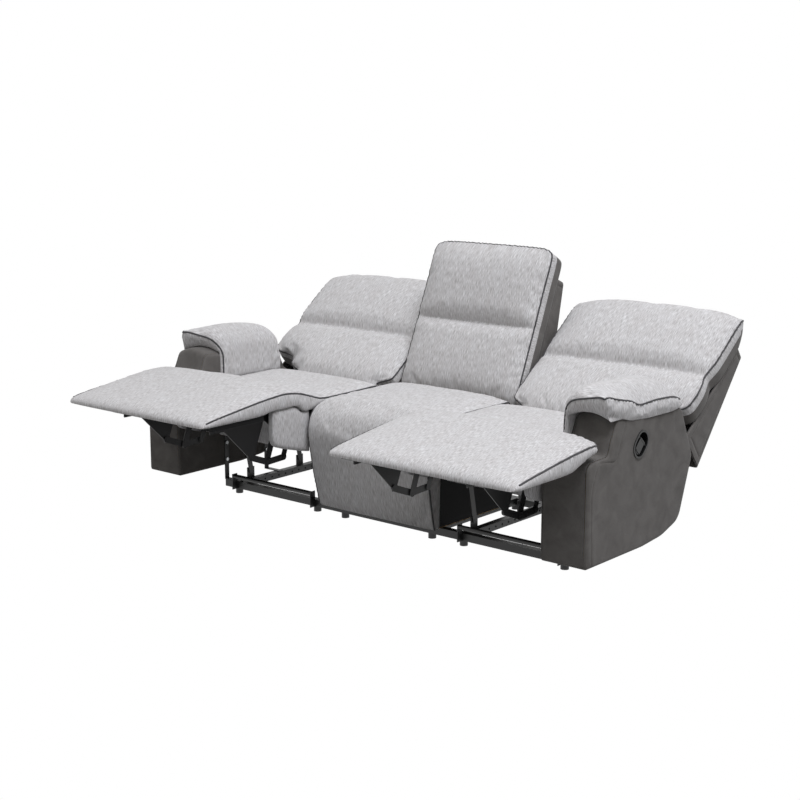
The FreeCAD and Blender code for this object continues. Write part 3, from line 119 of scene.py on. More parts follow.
def grained(name, dark, pale, grain, depth, **shader_inputs):
    """Finish with a fine random grain of a real size."""
    def speck(tree, place):
        return add(tree, "ShaderNodeTexNoise", {"Vector": place, "Scale": 1 / grain,
                                                "Detail": 3.0}).outputs["Fac"]
    return textured(name, dark, pale, speck, depth, **shader_inputs)


def dress(material, *nodes):
    """Give CAD nodes their finish."""
    for node in nodes:
        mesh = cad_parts[node].data
        mesh.materials.clear()
        mesh.materials.append(material)


# Baked powder: satin black, peel of about 2 mm.
POWDER_COAT = grained("powder_coated_steel", "#0A0A0B", "#131314", 0.002, 0.00004,
                      Roughness=0.42, IOR=1.5)
# Moulded polypropylene: black with a soft sheen and a fine spark-eroded grain.
MOULDED_PLASTIC = grained("moulded_polypropylene", "#0F0F10", "#171718", 0.0012, 0.00003,
                          Roughness=0.38, IOR=1.49)
# Zinc plate on steel: bright grey with faint cloudy marks.
ZINC_PLATE = grained("zinc_plated_steel", "#A9ABAE", "#D2D4D6", 0.006, 0.00001,
                     Metallic=1.0, Roughness=0.32)
dress(POWDER_COAT, "cross_rails", "side_rails", "spreader_tubes", "base_brackets")
dress(MOULDED_PLASTIC, "floor_glides")
dress(ZINC_PLATE, "arm_bolts")

# Two recliner mechanisms to a seat. Stamped steel plates and flat links on shouldered rivets,
# all powder coated black like the base. They carry the seat, the footrest and the back.
for side in SIDES:
    dress(POWDER_COAT, side + "_side_plates", side + "_rear_links", side + "_front_links",
          side + "_coupler_links", side + "_front_legs", side + "_rear_legs",
          side + "_footrest_brackets", side + "_back_frame")
dress(POWDER_COAT, "centre_back_frame")

# Seat boxes and arm frames. Sawn pine boards and birch plywood, glued and stapled, left raw:
# pale, with long grain.


def fibres(tree, place):
    """Fibres of sawn softwood, 3 mm apart and 60 mm long, streaked along the boards."""
    stretched = add(tree, "ShaderNodeMapping", {"Vector": place, "Scale": (330, 16, 330)})
    return add(tree, "ShaderNodeTexNoise", {"Vector": stretched.outputs["Vector"],
                                            "Scale": 1.0, "Detail": 5.0}).outputs["Fac"]


SAWN_PINE = textured("sawn_pine", "#A98352", "#D9BC8D", fibres, 0.0003, Roughness=0.75, IOR=1.5)
# Sinuous springs: oil-tempered wire, dark and slightly bright.
SPRING_WIRE = grained("tempered_spring_wire", "#3A3A3C", "#55565A", 0.004, 0.00001,
                      Metallic=1.0, Roughness=0.4)
dress(SAWN_PINE, "centre_seat_frame")
dress(SPRING_WIRE, "centre_seat_springs")
for side in SIDES:
    dress(SAWN_PINE, side + "_seat_frame", side + "_arm_frame")
    dress(SPRING_WIRE, side + "_seat_springs")

# Side linings of the middle seat and the footrest boards. Spun-bonded black dust cloth, stapled
# flat over the opening or the board: matt, with a pressed pattern of dots 2 mm apart.


def pressed_dots(tree, place):
    """Rows of dots 2 mm apart."""
    return add(tree, "ShaderNodeTexVoronoi", {"Vector": place, "Scale": 500.0,
                                              "Randomness": 0.3}).outputs["Distance"]


DUST_CLOTH = textured("spun_bonded_cloth", "#0E0E0F", "#1A1A1B", pressed_dots, 0.0002,
                      Roughness=0.95, IOR=1.45)
dress(DUST_CLOTH, "centre_side_linings", "left_footrest_board", "right_footrest_board")

# Reclining seat and footrest covers. One long cover in chenille over foam runs from the back
# of each seat over the raised knee to the tip of the footrest, with a corded seam down both
# sides and a plain gusset below it.
FRONT_RAIL_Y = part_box("cross_rails")[0].y + 0.014
KNEE = (-315, 430)
PITCH = 578


def at(point):
    """Millimetres from the front rail, as metres in the frame."""
    x, y, z = point
    return Vector((x / 1000, y / 1000 + FRONT_RAIL_Y, z / 1000))


def mix(a, b, share):
    return a + (b - a) * share


def ease(value, start, end):
    """0 before start, 1 after end, smooth between them."""
    share = max(0.0, min(1.0, (value - start) / (end - start)))
    return share * share * (3 - 2 * share)


def between(rows, run):
    """Smooth values of all columns at run, through rows that each start with their own run."""
    last = len(rows) - 1
    index = 0
    while index < last - 1 and rows[index + 1][0] <= run:
        index += 1
    before, here = rows[max(index - 1, 0)], rows[index]
    after, beyond = rows[index + 1], rows[min(index + 2, last)]
    gap = after[0] - here[0]
    t = (run - here[0]) / gap
    values = []
    for column in range(1, len(here)):
        start_slope = (after[column] - before[column]) / (after[0] - before[0]) * gap
        end_slope = (beyond[column] - here[column]) / (beyond[0] - here[0]) * gap
        a, b = here[column], after[column]
        values.append(a + start_slope * t + (3 * (b - a) - 2 * start_slope - end_slope) * t ** 2
                      + (2 * (a - b) + start_slope + end_slope) * t ** 3)
    return values


def running_lengths(points):
    """Length of a line up to each of its points."""
    lengths = [0.0]
    for start, end in zip(points, points[1:]):
        lengths.append(lengths[-1] + (end - start).length)
    return lengths


def tree_of(points):
    """Search tree of points, each under its index."""
    tree = KDTree(len(points))
    for index, point in enumerate(points):
        tree.insert(point, index)
    tree.balance()
    return tree


def course(points):
    """Smooth path through points: gives the point at a share of its length."""
    rows = [(index,) + tuple(point) for index, point in enumerate(points)]
    steps = 12
    dense = [Vector(between(rows, index / steps))
             for index in range((len(points) - 1) * steps + 1)]
    lengths = running_lengths(dense)

    def point(share):
        wanted = share * lengths[-1]
        index = 0
        while index < len(lengths) - 2 and lengths[index + 1] < wanted:
            index += 1
        gap = lengths[index + 1] - lengths[index] or 1.0
        return dense[index].lerp(dense[index + 1], (wanted - lengths[index]) / gap)
    return point


def memo(count, function):
    """Values of function at 0 to 1 in count steps, looked up by share."""
    values = [function(index / count) for index in range(count + 1)]
    return lambda share: values[round(share * count)]


def dome(share, power=3.0, blunt=0.7):
    """Height of a padded face across its width: 0 at both edges, 1 over the middle."""
    return max(0.0, 1 - abs(2 * share - 1) ** power) ** blunt


def section(rows, run, swell):
    """Face and underside of a cover at one run, as two pairs, by rows of its side view."""
    edge_1, edge_2, middle_1, middle_2, under_1, under_2 = between(rows, run)
    return mix(edge_1, middle_1, swell), mix(edge_2, middle_2, swell), under_1, under_2


def bulge(share, depth):
    """Swell of a gusset across its height: 0 at both seams and depth halfway."""
    return depth * 4 * share * (1 - share)


def edge_side(share):
    """1 at the far edge of a piece, -1 at its near edge and 0 between them."""
    return ease(share, 0.97, 1.0) - ease(1 - share, 0.97, 1.0)


def linked(name, data):
    """New object in the scene."""
    thing = bpy.data.objects.new(name, data)
    bpy.context.scene.collection.objects.link(thing)
    return thing


def skin(name, shape, cells, place=at, cap_axes=(1, 2), left_out=(), chart=None):
    """Closed cover on a grid over the faces of a block.

    shape(a, b, c) gives the piece's own millimetres, and place turns them to the frame. The
    seam coordinates run across and along the cloth in metres, by chart(point) where it is
    given. Returns the object and the vertex of each grid point.
    """
    keys = {}
    own = []

    def vertex(key):
        if key not in keys:
            keys[key] = len(own)
            own.append(shape(*[index / count for index, count in zip(key, cells)]))
        return keys[key]

    faces = []
    caps = []
    for axis in (2, 1, 0):
        first, second = [other for other in (0, 1, 2) if other != axis]
        for level in (0, cells[axis]):
            if (axis, level) in left_out:
                continue
            for i in range(cells[first]):
                for j in range(cells[second]):
                    quad = []
                    for di, dj in ((0, 0), (1, 0), (1, 1), (0, 1)):
                        key = [0, 0, 0]
                        key[axis], key[first], key[second] = level, i + di, j + dj
                        quad.append(vertex(tuple(key)))
                    faces.append(quad)
                    caps.append(axis == 0)
    mesh = bpy.data.meshes.new(name)
    mesh.from_pydata([place(point) for point in own], [], faces)
    layer = mesh.uv_layers.new(name="seam")
    for face, cap in zip(mesh.polygons, caps):
        for loop in face.loop_indices:
            point = own[mesh.loops[loop].vertex_index]
            across, along = point[0], point[1] + point[2]
            if chart:
                across, along = chart(point)
            if cap:
                across, along = point[cap_axes[0]], point[cap_axes[1]]
            layer.data[loop].uv = (across / 1000, along / 1000)
    outward(mesh)
    mesh.shade_smooth()
    return linked(name, mesh), keys


def outward(mesh, weld=0.0):
    """Turn all faces of a mesh outwards, after joining points less than weld metres apart."""
    shell = bmesh.new()
    shell.from_mesh(mesh)
    if weld:
        bmesh.ops.remove_doubles(shell, verts=shell.verts, dist=weld)
    bmesh.ops.recalc_face_normals(shell, faces=shell.faces)
    shell.to_mesh(mesh)
    shell.free()


def settled(piece):
    """Replace the piece's mesh by what its modifiers make of it."""
    view = bpy.context.evaluated_depsgraph_get()
    made = bpy.data.meshes.new_from_object(piece.evaluated_get(view), depsgraph=view)
    made.name = piece.name
    piece.modifiers.clear()
    piece.vertex_groups.clear()
    piece.data = made


CLOTH_SLACK = 0.02
CLOTH_FRAMES = 20


def inflate(piece, held, pressure, reach):
    """Blow the cover up as cloth, with the held points fixed and no point moving past reach."""
    before = [vertex.co.copy() for vertex in piece.data.vertices]
    group = piece.vertex_groups.new(name="held")
    group.add(held, 1.0, "REPLACE")
    settings = piece.modifiers.new("Cloth", "CLOTH").settings
    settings.vertex_group_mass = "held"
    settings.quality = 5
    settings.mass = 0.25
    settings.tension_stiffness = 12
    settings.compression_stiffness = 12
    settings.shear_stiffness = 6
    settings.bending_stiffness = 0.6
    settings.use_pressure = True
    settings.uniform_pressure_force = pressure
    settings.shrink_min = -CLOTH_SLACK
    settings.effector_weights.gravity = 0
    for number in range(1, CLOTH_FRAMES + 1):
        bpy.context.scene.frame_set(number)
    settled(piece)
    bpy.context.scene.frame_set(1)
    for vertex, old in zip(piece.data.vertices, before):
        move = vertex.co - old
        if move.length > 1e-7:
            vertex.co = old + move * (reach * math.tanh(move.length / reach) / move.length)


def refine(piece):
    """One level of subdivision, applied. The first vertices stay those of the grid."""
    modifier = piece.modifiers.new("Subdivision", "SUBSURF")
    modifier.levels = 1
    modifier.render_levels = 1
    modifier.boundary_smooth = "PRESERVE_CORNERS"
    settled(piece)
    piece.data.shade_smooth()


def gather(piece, seam, depth, pitch, fade, seed):
    """Small puckers square to a seam, deepest beside it and gone within fade metres."""
    tree = tree_of(seam)
    runs = running_lengths(seam)
    mesh = piece.data
    normals = [vertex.normal.copy() for vertex in mesh.vertices]
    for vertex, normal in zip(mesh.vertices, normals):
        _, index, distance = tree.find(vertex.co)
        if distance > fade:
            continue
        along = runs[index]
        uneven = noise.noise(Vector((along * 22, seed, 0.5)))
        length = fade * (0.55 + 0.45 * noise.noise(Vector((along * 40, seed, 7.3))))
        wave = math.sin(along / pitch * math.tau + 5 * uneven) * (0.7 + 0.9 * abs(uneven))
        vertex.co += normal * depth * wave * (1 - ease(distance, 0, max(length, 0.008)))


def chenille():
    """Chenille weave: short soft pile on slubby yarn.

    Pale grey streaks 2.4 mm apart and 24 mm long follow the cloth, with darker flecks between
    them and faint slow changes of shade. The pile gives a dull surface with a soft rim of light.
    """
    material, tree, shader = new_material("woven_chenille", Roughness=0.92, IOR=1.45,
                                          Sheen_Weight=0.25, Sheen_Roughness=0.5)
    seam = add(tree, "ShaderNodeUVMap", uv_map="seam").outputs["UV"]

    def noise_at(across, along, detail, distortion=0.0):
        scaled = add(tree, "ShaderNodeMapping", {"Vector": seam,
                                                 "Scale": (1 / across, 1 / along, 1.0)})
        made = add(tree, "ShaderNodeTexNoise",
                   {"Vector": scaled.outputs["Vector"], "Scale": 1.0, "Detail": detail,
                    "Distortion": distortion})
        return made.outputs["Fac"]

    def spread(value, low, high):
        return add(tree, "ShaderNodeMapRange", {"Value": value, "From Min": low,
                                                "From Max": high}).outputs["Result"]

    streak = spread(noise_at(0.0024, 0.024, 2.0, 0.1), 0.3, 0.7)
    fleck = spread(noise_at(0.0020, 0.008, 1.0), 0.62, 0.90)
    cloud = spread(noise_at(0.03, 0.11, 2.0), 0.25, 0.75)
    yarn = two_colours(tree, streak, "#A9A7A6", "#E3E3E4")
    shade = two_colours(tree, cloud, "#F3F1F0", "#FFFFFF")
    toned = add(tree, "ShaderNodeMix", {"Factor": 1.0}, data_type="RGBA", blend_type="MULTIPLY")
    tree.links.new(yarn, toned.inputs[6])
    tree.links.new(shade, toned.inputs[7])
    flecked = add(tree, "ShaderNodeMix", {"Factor": fleck}, data_type="RGBA")
    tree.links.new(toned.outputs[2], flecked.inputs[6])
    flecked.inputs[7].default_value = linear("#9C9896")
    surface(tree, shader, flecked.outputs[2], streak, 0.0006)
    return material


def suede(name, dark, pale):
    """Microfibre suede: brushed nap with cloudy marks 60 mm wide and a grain of 1.5 mm."""
    material, tree, shader = new_material(name, Roughness=0.9, IOR=1.45, Sheen_Weight=0.15,
                                          Sheen_Roughness=0.45)
    place = add(tree, "ShaderNodeTexCoord").outputs["Object"]
    cloud = add(tree, "ShaderNodeTexNoise", {"Vector": place, "Scale": 16.0, "Detail": 4.0,
                                             "Distortion": 0.6})
    grain = add(tree, "ShaderNodeTexNoise", {"Vector": place, "Scale": 650.0, "Detail": 2.0})
    blended = add(tree, "ShaderNodeMix", {"Factor": 0.35, "A": cloud.outputs["Fac"],
                                          "B": grain.outputs["Fac"]}, data_type="FLOAT")
    contrast = add(tree, "ShaderNodeMapRange", {"Value": blended.outputs["Result"],
                                                "From Min": 0.3, "From Max": 0.7})
    colour = two_colours(tree, contrast.outputs["Result"], dark, pale)
    surface(tree, shader, colour, grain.outputs["Fac"], 0.0003)
    return material


CHENILLE = chenille()
PIPING_SUEDE = suede("suede_piping", "#3C3B3C", "#525153")


def piping_tree():
    """Geometry nodes that wrap a round cord in cloth along the edges of a mesh."""
    tree = bpy.data.node_groups.new("corded_seam", "GeometryNodeTree")
    for name, direction, kind in (("Geometry", "INPUT", "Geometry"), ("Radius", "INPUT", "Float"),
                                  ("Cloth", "INPUT", "Material"),
                                  ("Geometry", "OUTPUT", "Geometry")):
        tree.interface.new_socket(name, in_out=direction, socket_type="NodeSocket" + kind)
    given = add(tree, "NodeGroupInput")
    line = add(tree, "GeometryNodeMeshToCurve", {"Mesh": given.outputs["Geometry"]})
    ring = add(tree, "GeometryNodeCurvePrimitiveCircle", {"Resolution": 8,
                                                          "Radius": given.outputs["Radius"]})
    cord = add(tree, "GeometryNodeCurveToMesh", {"Curve": line.outputs["Curve"],
                                                 "Profile Curve": ring.outputs["Curve"],
                                                 "Fill Caps": True})
    real = add(tree, "GeometryNodeRealizeInstances", {"Geometry": cord.outputs["Mesh"]})
    clad = add(tree, "GeometryNodeSetMaterial", {"Geometry": real.outputs["Geometry"],
                                                 "Material": given.outputs["Cloth"]})
    add(tree, "NodeGroupOutput", {"Geometry": clad.outputs["Geometry"]})
    return tree


PIPING_TREE = piping_tree()
PIPING_RADIUS = 0.0034


def set_input(modifier, name, value):
    """Set a geometry nodes input by the identifier of its socket."""
    for item in modifier.node_group.interface.items_tree:
        if item.name == name and item.in_out == "INPUT":
            modifier[item.identifier] = value


def piping(name, lines):
    """Corded seam along lines of points in the frame."""
    points = [point for line in lines for point in line]
    edges = []
    start = 0
    for line in lines:
        edges += [(start + index, start + index + 1) for index in range(len(line) - 1)]
        start += len(line)
    mesh = bpy.data.meshes.new(name)
    mesh.from_pydata(points, edges, [])
    cord = linked(name, mesh)
    modifier = cord.modifiers.new("Cord", "NODES")
    modifier.node_group = PIPING_TREE
    set_input(modifier, "Radius", PIPING_RADIUS)
    set_input(modifier, "Cloth", PIPING_SUEDE)
    settled(cord)
    outward(cord.data)
    cord.data.shade_smooth()
    return cord


def mirror(mesh):
    """Mirror a mesh to the other side of the sofa."""
    mesh.transform(Matrix.Scale(-1, 4, (1, 0, 0)))
    mesh.flip_normals()


def on_side(piece, side):
    """The piece itself on the right of the sofa, and its mirror image on the left."""
    if side == "right":
        return piece
    name = piece.name.replace("right", "left")
    mesh = piece.data.copy()
    mesh.name = name
    mirror(mesh)
    return linked(name, mesh)


def stand_in(piece, slot, *nodes, fill=None):
    """Hide the CAD nodes that a piece stands for. The piece, its finish slot and its fill are not
    used.
    """
    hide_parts(*nodes)


def line_of(piece, keys, path):
    """Points of the finished piece along a list of its grid points."""
    return [piece.data.vertices[keys[key]].co.copy() for key in path]


# Side view, run from the rear top edge: edge y z, middle y z, underside y z
CHAISE_ROWS = (
    (0, 296, 436, 298, 436, 296, 427),
    (20, 294, 455, 297, 460, 290, 426),
    (45, 274, 463, 276, 478, 272, 426),
    (98, 212, 462, 212, 483, 212, 426),
    (260, 50, 460, 50, 482, 50, 426),
    (353, -43, 463, -43, 480, -43, 426),
    (410, -100, 480, -100, 503, -100, 426),
    (448, -138, 492, -138, 521, -136, 427),
    (472, -162, 498, -162, 529, -164, 450),
    (546, -236, 507, -236, 540, -236, 451),
    (625, -315, 502, -315, 533, -315, 450),
    (650, -340, 500, -340, 528, -340, 444),
    (710, -400, 493, -400, 518, -400, 441),
    (810, -500, 479, -500, 502, -500, 441),
    (900, -590, 466, -590, 485, -590, 441),
    (935, -622, 460, -625, 477, -618, 441),
    (956, -638, 455, -645, 466, -628, 441),
    (972, -645, 449, -654, 453, -633, 441),
    (985, -646, 442, -652, 441, -636, 441),
)
CHAISE_INNER = ((296, 0), (296, 300), (296, 600), (296, 900), (297, 940), (301, 966), (310, 985))
CHAISE_OUTER = ((862, 0), (862, 240), (862, 500), (866, 530), (888, 543), (930, 534), (985, 510),
                (1024, 503), (1042, 512), (1047, 536), (1047, 700), (1047, 900), (1046, 940),
                (1040, 966), (1030, 985))
CHAISE_CELLS = (74, 98, 5)
# Foam core that sits down in the seat box
CORE_HALF_WIDTH = 204
CORE_HALF_LENGTH = 176
CORE_MIDDLE = 100
CORE_FOOT = 388
# Wing in front of the arm, with an underside that rises to a thin tip
WING_X = (880, 1040)
WING_RUN = (510, 660)
WING_THICKNESS = 12
WING_RISE = 0.75
# Grid rows over the knee, gathered along the outer edge
KNEE_ROWS = slice(50, 74)
SEAT_PRESSURE = 1.6
SEAT_REACH = 0.007
inner_edge = memo(CHAISE_CELLS[1], course(CHAISE_INNER))
outer_edge = memo(CHAISE_CELLS[1], course(CHAISE_OUTER))


def chaise_shape(a, b, c):
    """Right-hand cover: a from the inner to the outer edge, b to the front, c upwards."""
    x, run = inner_edge(b).lerp(outer_edge(b), a)
    y, z, under_y, under_z = section(CHAISE_ROWS, run, dome(a, 4.0, 0.6))
    core = (1 - ease(abs(x - PITCH), CORE_HALF_WIDTH, CORE_HALF_WIDTH + 10)) \
        * (1 - ease(abs(under_y - CORE_MIDDLE), CORE_HALF_LENGTH, CORE_HALF_LENGTH + 12))
    under_z = mix(under_z, CORE_FOOT, core)
    wing_tip = ease(x, *WING_X) * (1 - ease(run, *WING_RUN))
    under_z = mix(under_z, z - WING_THICKNESS, WING_RISE * wing_tip)
    gusset = bulge(c, 5)
    return (x + gusset * edge_side(a), mix(under_y, y, c) - gusset * ease(b, 0.97, 1.0),
            mix(under_z, z, c))


chaise, keys = skin("right_seat_cover", chaise_shape, CHAISE_CELLS)
wide, long, tall = CHAISE_CELLS
held = [index for key, index in keys.items()
        if key[2] == 0 or (key[2] == tall and key[0] in (0, wide)) or key[1] == 0]
inflate(chaise, held, SEAT_PRESSURE, SEAT_REACH)
refine(chaise)
seams = [line_of(chaise, keys, [(column, row, tall) for row in range(long - 2)])
         for column in (0, wide)]
gather(chaise, seams[1][KNEE_ROWS], depth=0.0022, pitch=0.026, fade=0.10, seed=3.0)
for seam in seams:
    gather(chaise, seam, depth=0.0008, pitch=0.017, fade=0.022, seed=9.0)
chaise.data.materials.append(CHENILLE)
cords = piping("right_seat_piping", [line_of(chaise, keys, [(column, row, tall)
                                                            for row in range(2, long - 3)])
                                     for column in (0, wide)])
BEND_BEHIND = 45
BEND_AHEAD = 60
bend_start = at((0, KNEE[0] + BEND_BEHIND, KNEE[1]))
bend_end = at((0, KNEE[0] - BEND_AHEAD, KNEE[1]))
for side in SIDES:
    cover, cord = on_side(chaise, side), on_side(cords, side)
    for piece in (cover, cord):
        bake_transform(piece)
    stand_in(cover, "chenille", side + "_seat_cushion", side + "_footrest_pad", fill=0.6)

# Front of each motion seat. A thin padded board in chenille closes the seat box between the two
# mechanisms, and a deeper padded flank covers each mechanism from the side.
PANEL_CELLS = (40, 16, 3)
PANEL_SPAN = (364, 792)
PANEL_HEIGHT = (262, 424.5)
PANEL_FACE = -118
PANEL_REAR = -95.5


def panel_shape(a, b, c):
    x = mix(PANEL_SPAN[0], PANEL_SPAN[1], a)
    z = mix(PANEL_HEIGHT[0], PANEL_HEIGHT[1], b)
    swell = dome(a, 6.0) * dome(b, 4.0)
    return x, mix(PANEL_REAR, PANEL_FACE + 6 - 8 * swell, c), z


# Side view of a flank, run from its rear: y, lower z, upper z
FLANK_ROWS = ((0, -96, 263, 424), (44, -140, 272, 424), (62, -160, 277, 440),
              (86, -184, 283, 449), (150, -246, 300, 449), (182, -279, 314, 448),
              (194, -290, 332, 440))
FLANK_CELLS = (6, 26, 20)
FLANK_NEAR = 239
FLANK_FAR = 279


def flank_shape(a, b, c):
    y, low, high = between(FLANK_ROWS, b * FLANK_ROWS[-1][0])
    swell = dome(b, 4.0) * dome(c, 4.0)
    thick = (FLANK_FAR - FLANK_NEAR) * (0.5 + 0.5 * swell ** 0.5)
    middle = (FLANK_FAR + FLANK_NEAR) / 2
    return middle + (a - 0.5) * thick, y - 3 * dome(c) * ease(b, 0.9, 1), mix(low, high, c)


panel, _ = skin("right_front_panel", panel_shape, PANEL_CELLS)
refine(panel)
flank, _ = skin("flank", flank_shape, FLANK_CELLS)
refine(flank)
for piece in (panel, flank):
    piece.data.materials.append(CHENILLE)


def shifted(piece, name, turn, x):
    """Copy of a piece drawn at the middle of a seat, turned to one side and moved along X."""
    mesh = piece.data.copy()
    mesh.name = name
    if turn < 0:
        mirror(mesh)
    mesh.transform(Matrix.Translation((x / 1000, 0, 0)))
    return linked(name, mesh)


for side in SIDES:
    turn = 1 if side == "right" else -1
    board = on_side(panel, side)
    flanks = [shifted(flank, side + "_inner_flank", -turn, turn * PITCH),
              shifted(flank, side + "_outer_flank", turn, turn * PITCH)]
    for piece in [board] + flanks:
        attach(piece, side + "_seat")
        stand_in(piece, "chenille", side + "_seat_front_panel", fill=0.8)
bpy.data.objects.remove(flank)

# Middle seat. One chenille cover over a foam cushion runs forwards over a rolled edge and down
# the front to a hem just above the base, with a corded seam along both sides.
# Side view, run from the rear top edge: edge y z, middle y z, underside y z
CENTRE_ROWS = (
    (0, 372, 436, 374, 438, 368, 399),
    (24, 370, 458, 371, 466, 360, 397),
    (60, 340, 460, 340, 478, 340, 397),
    (300, 100, 460, 100, 482, 100, 397),
    (420, -20, 456, -20, 476, -30, 397),
    (450, -50, 450, -52, 471, -36, 392),
    (485, -80, 440, -84, 459, -38, 384),
    (520, -106, 420, -112, 436, -39, 376),
    (560, -122, 388, -131, 398, -40, 362),
    (600, -127, 352, -138, 358, -40, 340),
    (660, -121, 296, -131, 300, -40, 296),
    (760, -104, 200, -113, 202, -40, 200),
    (850, -85, 112, -92, 113, -40, 112),
    (900, -72, 62, -77, 62, -41, 62),
    (911, -68, 53, -72, 52, -44, 53),
)
CENTRE_CELLS = (56, 92, 4)
CENTRE_HALF = 286
CENTRE_TAPER = 5
CENTRE_PRESSURE = 1.4
CENTRE_REACH = 0.006


def centre_shape(a, b, c):
    """Cover of the middle seat: a across, b forwards and down, c outwards."""
    y, z, under_y, under_z = section(CENTRE_ROWS, b * CENTRE_ROWS[-1][0], dome(a))
    half = CENTRE_HALF - CENTRE_TAPER * ease(b, 0.75, 1)
    out = bulge(c, 3) * edge_side(a)
    return mix(-half, half, a) + out, mix(under_y, y, c), mix(under_z, z, c)


def declare(cover, cord, body, fill, *stands_for):
    """Attach a padded chenille cover and its suede cord to one body, and hide the CAD nodes they
    stand for.
    """
    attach(cover, body)
    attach(cord, body)
    stand_in(cover, "chenille", *stands_for, fill=fill)


centre, keys = skin("centre_seat_cover", centre_shape, CENTRE_CELLS)
wide, long, tall = CENTRE_CELLS
held = [index for key, index in keys.items()
        if key[2] == 0 or key[0] in (0, wide) or key[1] in (0, long)]
inflate(centre, held, CENTRE_PRESSURE, CENTRE_REACH)
refine(centre)
sides = [[(column, row, tall) for row in range(2, long + 1)] for column in (0, wide)]
for path in sides:
    gather(centre, line_of(centre, keys, path), depth=0.0008, pitch=0.018, fade=0.022, seed=5.0)
centre.data.materials.append(CHENILLE)
cord = piping("centre_seat_piping", [line_of(centre, keys, path) for path in sides])
declare(centre, cord, "root", 0.6, "centre_seat_cushion", "centre_front_panel")

# Middle back. A box cushion in chenille with a deep seam across it, gathered at its corded
# edge, and a suede band behind a narrow gusset. It is filled with fibre over foam.
SEAT_HEIGHT = 466


def leaning(foot_y, degrees):
    """Placing of a back: x across, depth into the back and height up its face."""
    tilt = math.radians(degrees)

    def place(point):
        x, depth, height = point
        return at((x, foot_y + depth * math.cos(tilt) + height * math.sin(tilt),
                   SEAT_HEIGHT - depth * math.sin(tilt) + height * math.cos(tilt)))
    return place


BACK_CAP_AXES = (2, 1)
CREASE_DEPTH = 31.0
CREASE_HEIGHT = 285


def back_chart(point):
    """Seam coordinates of a back: up its face, through its crease and on over its top."""
    x, depth, height = point
    crease = 0.6 * max(0.0, min(CREASE_DEPTH, depth + 8))
    if height > CREASE_HEIGHT:
        crease = 2 * 0.6 * CREASE_DEPTH - crease
    return x, height + crease + max(0.0, depth - 30)


# Side view, run up the face: edge depth height, middle depth height, rear depth height
CENTRE_BACK_ROWS = (
    (0, 30, -22, 26, -22, 104, -22),
    (30, 26, 8, 2, 6, 104, 8),
    (90, 25, 68, -12, 66, 104, 66),
    (160, 25, 138, -17, 136, 104, 136),
    (230, 25, 206, -12, 206, 104, 204),
    (282, 26, 258, -6, 261, 104, 256),
    (302, 27, 277, 9, 279, 104, 276),
    (310, 27, 285, 23, 285, 104, 284),
    (318, 27, 293, 8, 291, 104, 292),
    (338, 26, 313, -8, 310, 104, 311),
    (410, 25, 385, -14, 386, 104, 384),
    (480, 25, 455, -16, 456, 104, 454),
    (550, 25, 524, -9, 526, 104, 520),
    (600, 25, 573, 6, 576, 104, 566),
    (622, 25, 592, 18, 596, 104, 584),
    (634, 26, 602, 26, 606, 102, 592),
)
BACK_SUEDE = suede("brushed_suede", "#504D4A", "#6C6966")
SUEDE_DEPTH = 57


def box_edge(half, radius, top):
    """Side edge of the middle back with a rounded upper corner: x and run."""
    return ((half - 3, 0), (half, 60), (half, 285), (half - 3, 310), (half, 335), (half, 460),
            (half, top - radius), (half - radius * 0.3, top - radius * 0.3),
            (half - radius, top))


BACK_SHARE = 0.49


def split_course(points, middle, share):
    """Path in two stretches, so that its point number middle comes at a fixed share."""
    lower, upper = course(points[:middle + 1]), course(points[middle:])
    return lambda t: lower(t / share) if t < share else upper((t - share) / (1 - share))


CENTRE_BACK_CELLS = (56, 66, 5)
CENTRE_BACK_TOP = CENTRE_BACK_ROWS[-1][0]
centre_side = memo(CENTRE_BACK_CELLS[1],
                   split_course(box_edge(285, 44, CENTRE_BACK_TOP), 3, BACK_SHARE))


def centre_back_shape(a, b, c):
    x, run = centre_side(b)
    depth, height, rear_depth, rear_height = section(CENTRE_BACK_ROWS, run, dome(a, 4.0))
    out = bulge(c, 4)
    return (mix(-x, x, a) + out * edge_side(a), mix(rear_depth, depth, c),
            mix(rear_height, height, c) + out * ease(b, 0.97, 1))


def suede_behind(piece, place, limit, top):
    """Give the faces that lie deeper than limit, below a height, the suede finish."""
    origin = place((0, 0, 0))
    # These turn an offset in metres into millimetres of depth and of height
    into = (place((0, 1, 0)) - origin) * 1e6
    up = (place((0, 0, 1)) - origin) * 1e6
    piece.data.materials.append(CHENILLE)
    piece.data.materials.append(BACK_SUEDE)
    for face in piece.data.polygons:
        offset = face.center - origin
        if offset.dot(into) > limit and offset.dot(up) < top:
            face.material_index = 1


BACK_PRESSURE = 2.0
BACK_REACH = 0.008


def back_cover(name, shape, cells, place, share):
    """Back cover blown up between its held edges and the seam across it, and its grid."""
    piece, grid = skin(name, shape, cells, place, BACK_CAP_AXES, chart=back_chart)
    across, up, out = cells
    row = round(share * up)
    fixed = [index for key, index in grid.items()
             if key[2] < 2 or key[0] in (0, across) or key[1] in (0, up)
             or (key[2] == out and key[1] == row)]
    inflate(piece, fixed, BACK_PRESSURE, BACK_REACH)
    refine(piece)
    return piece, grid, [(column, row, out) for column in range(across + 1)]


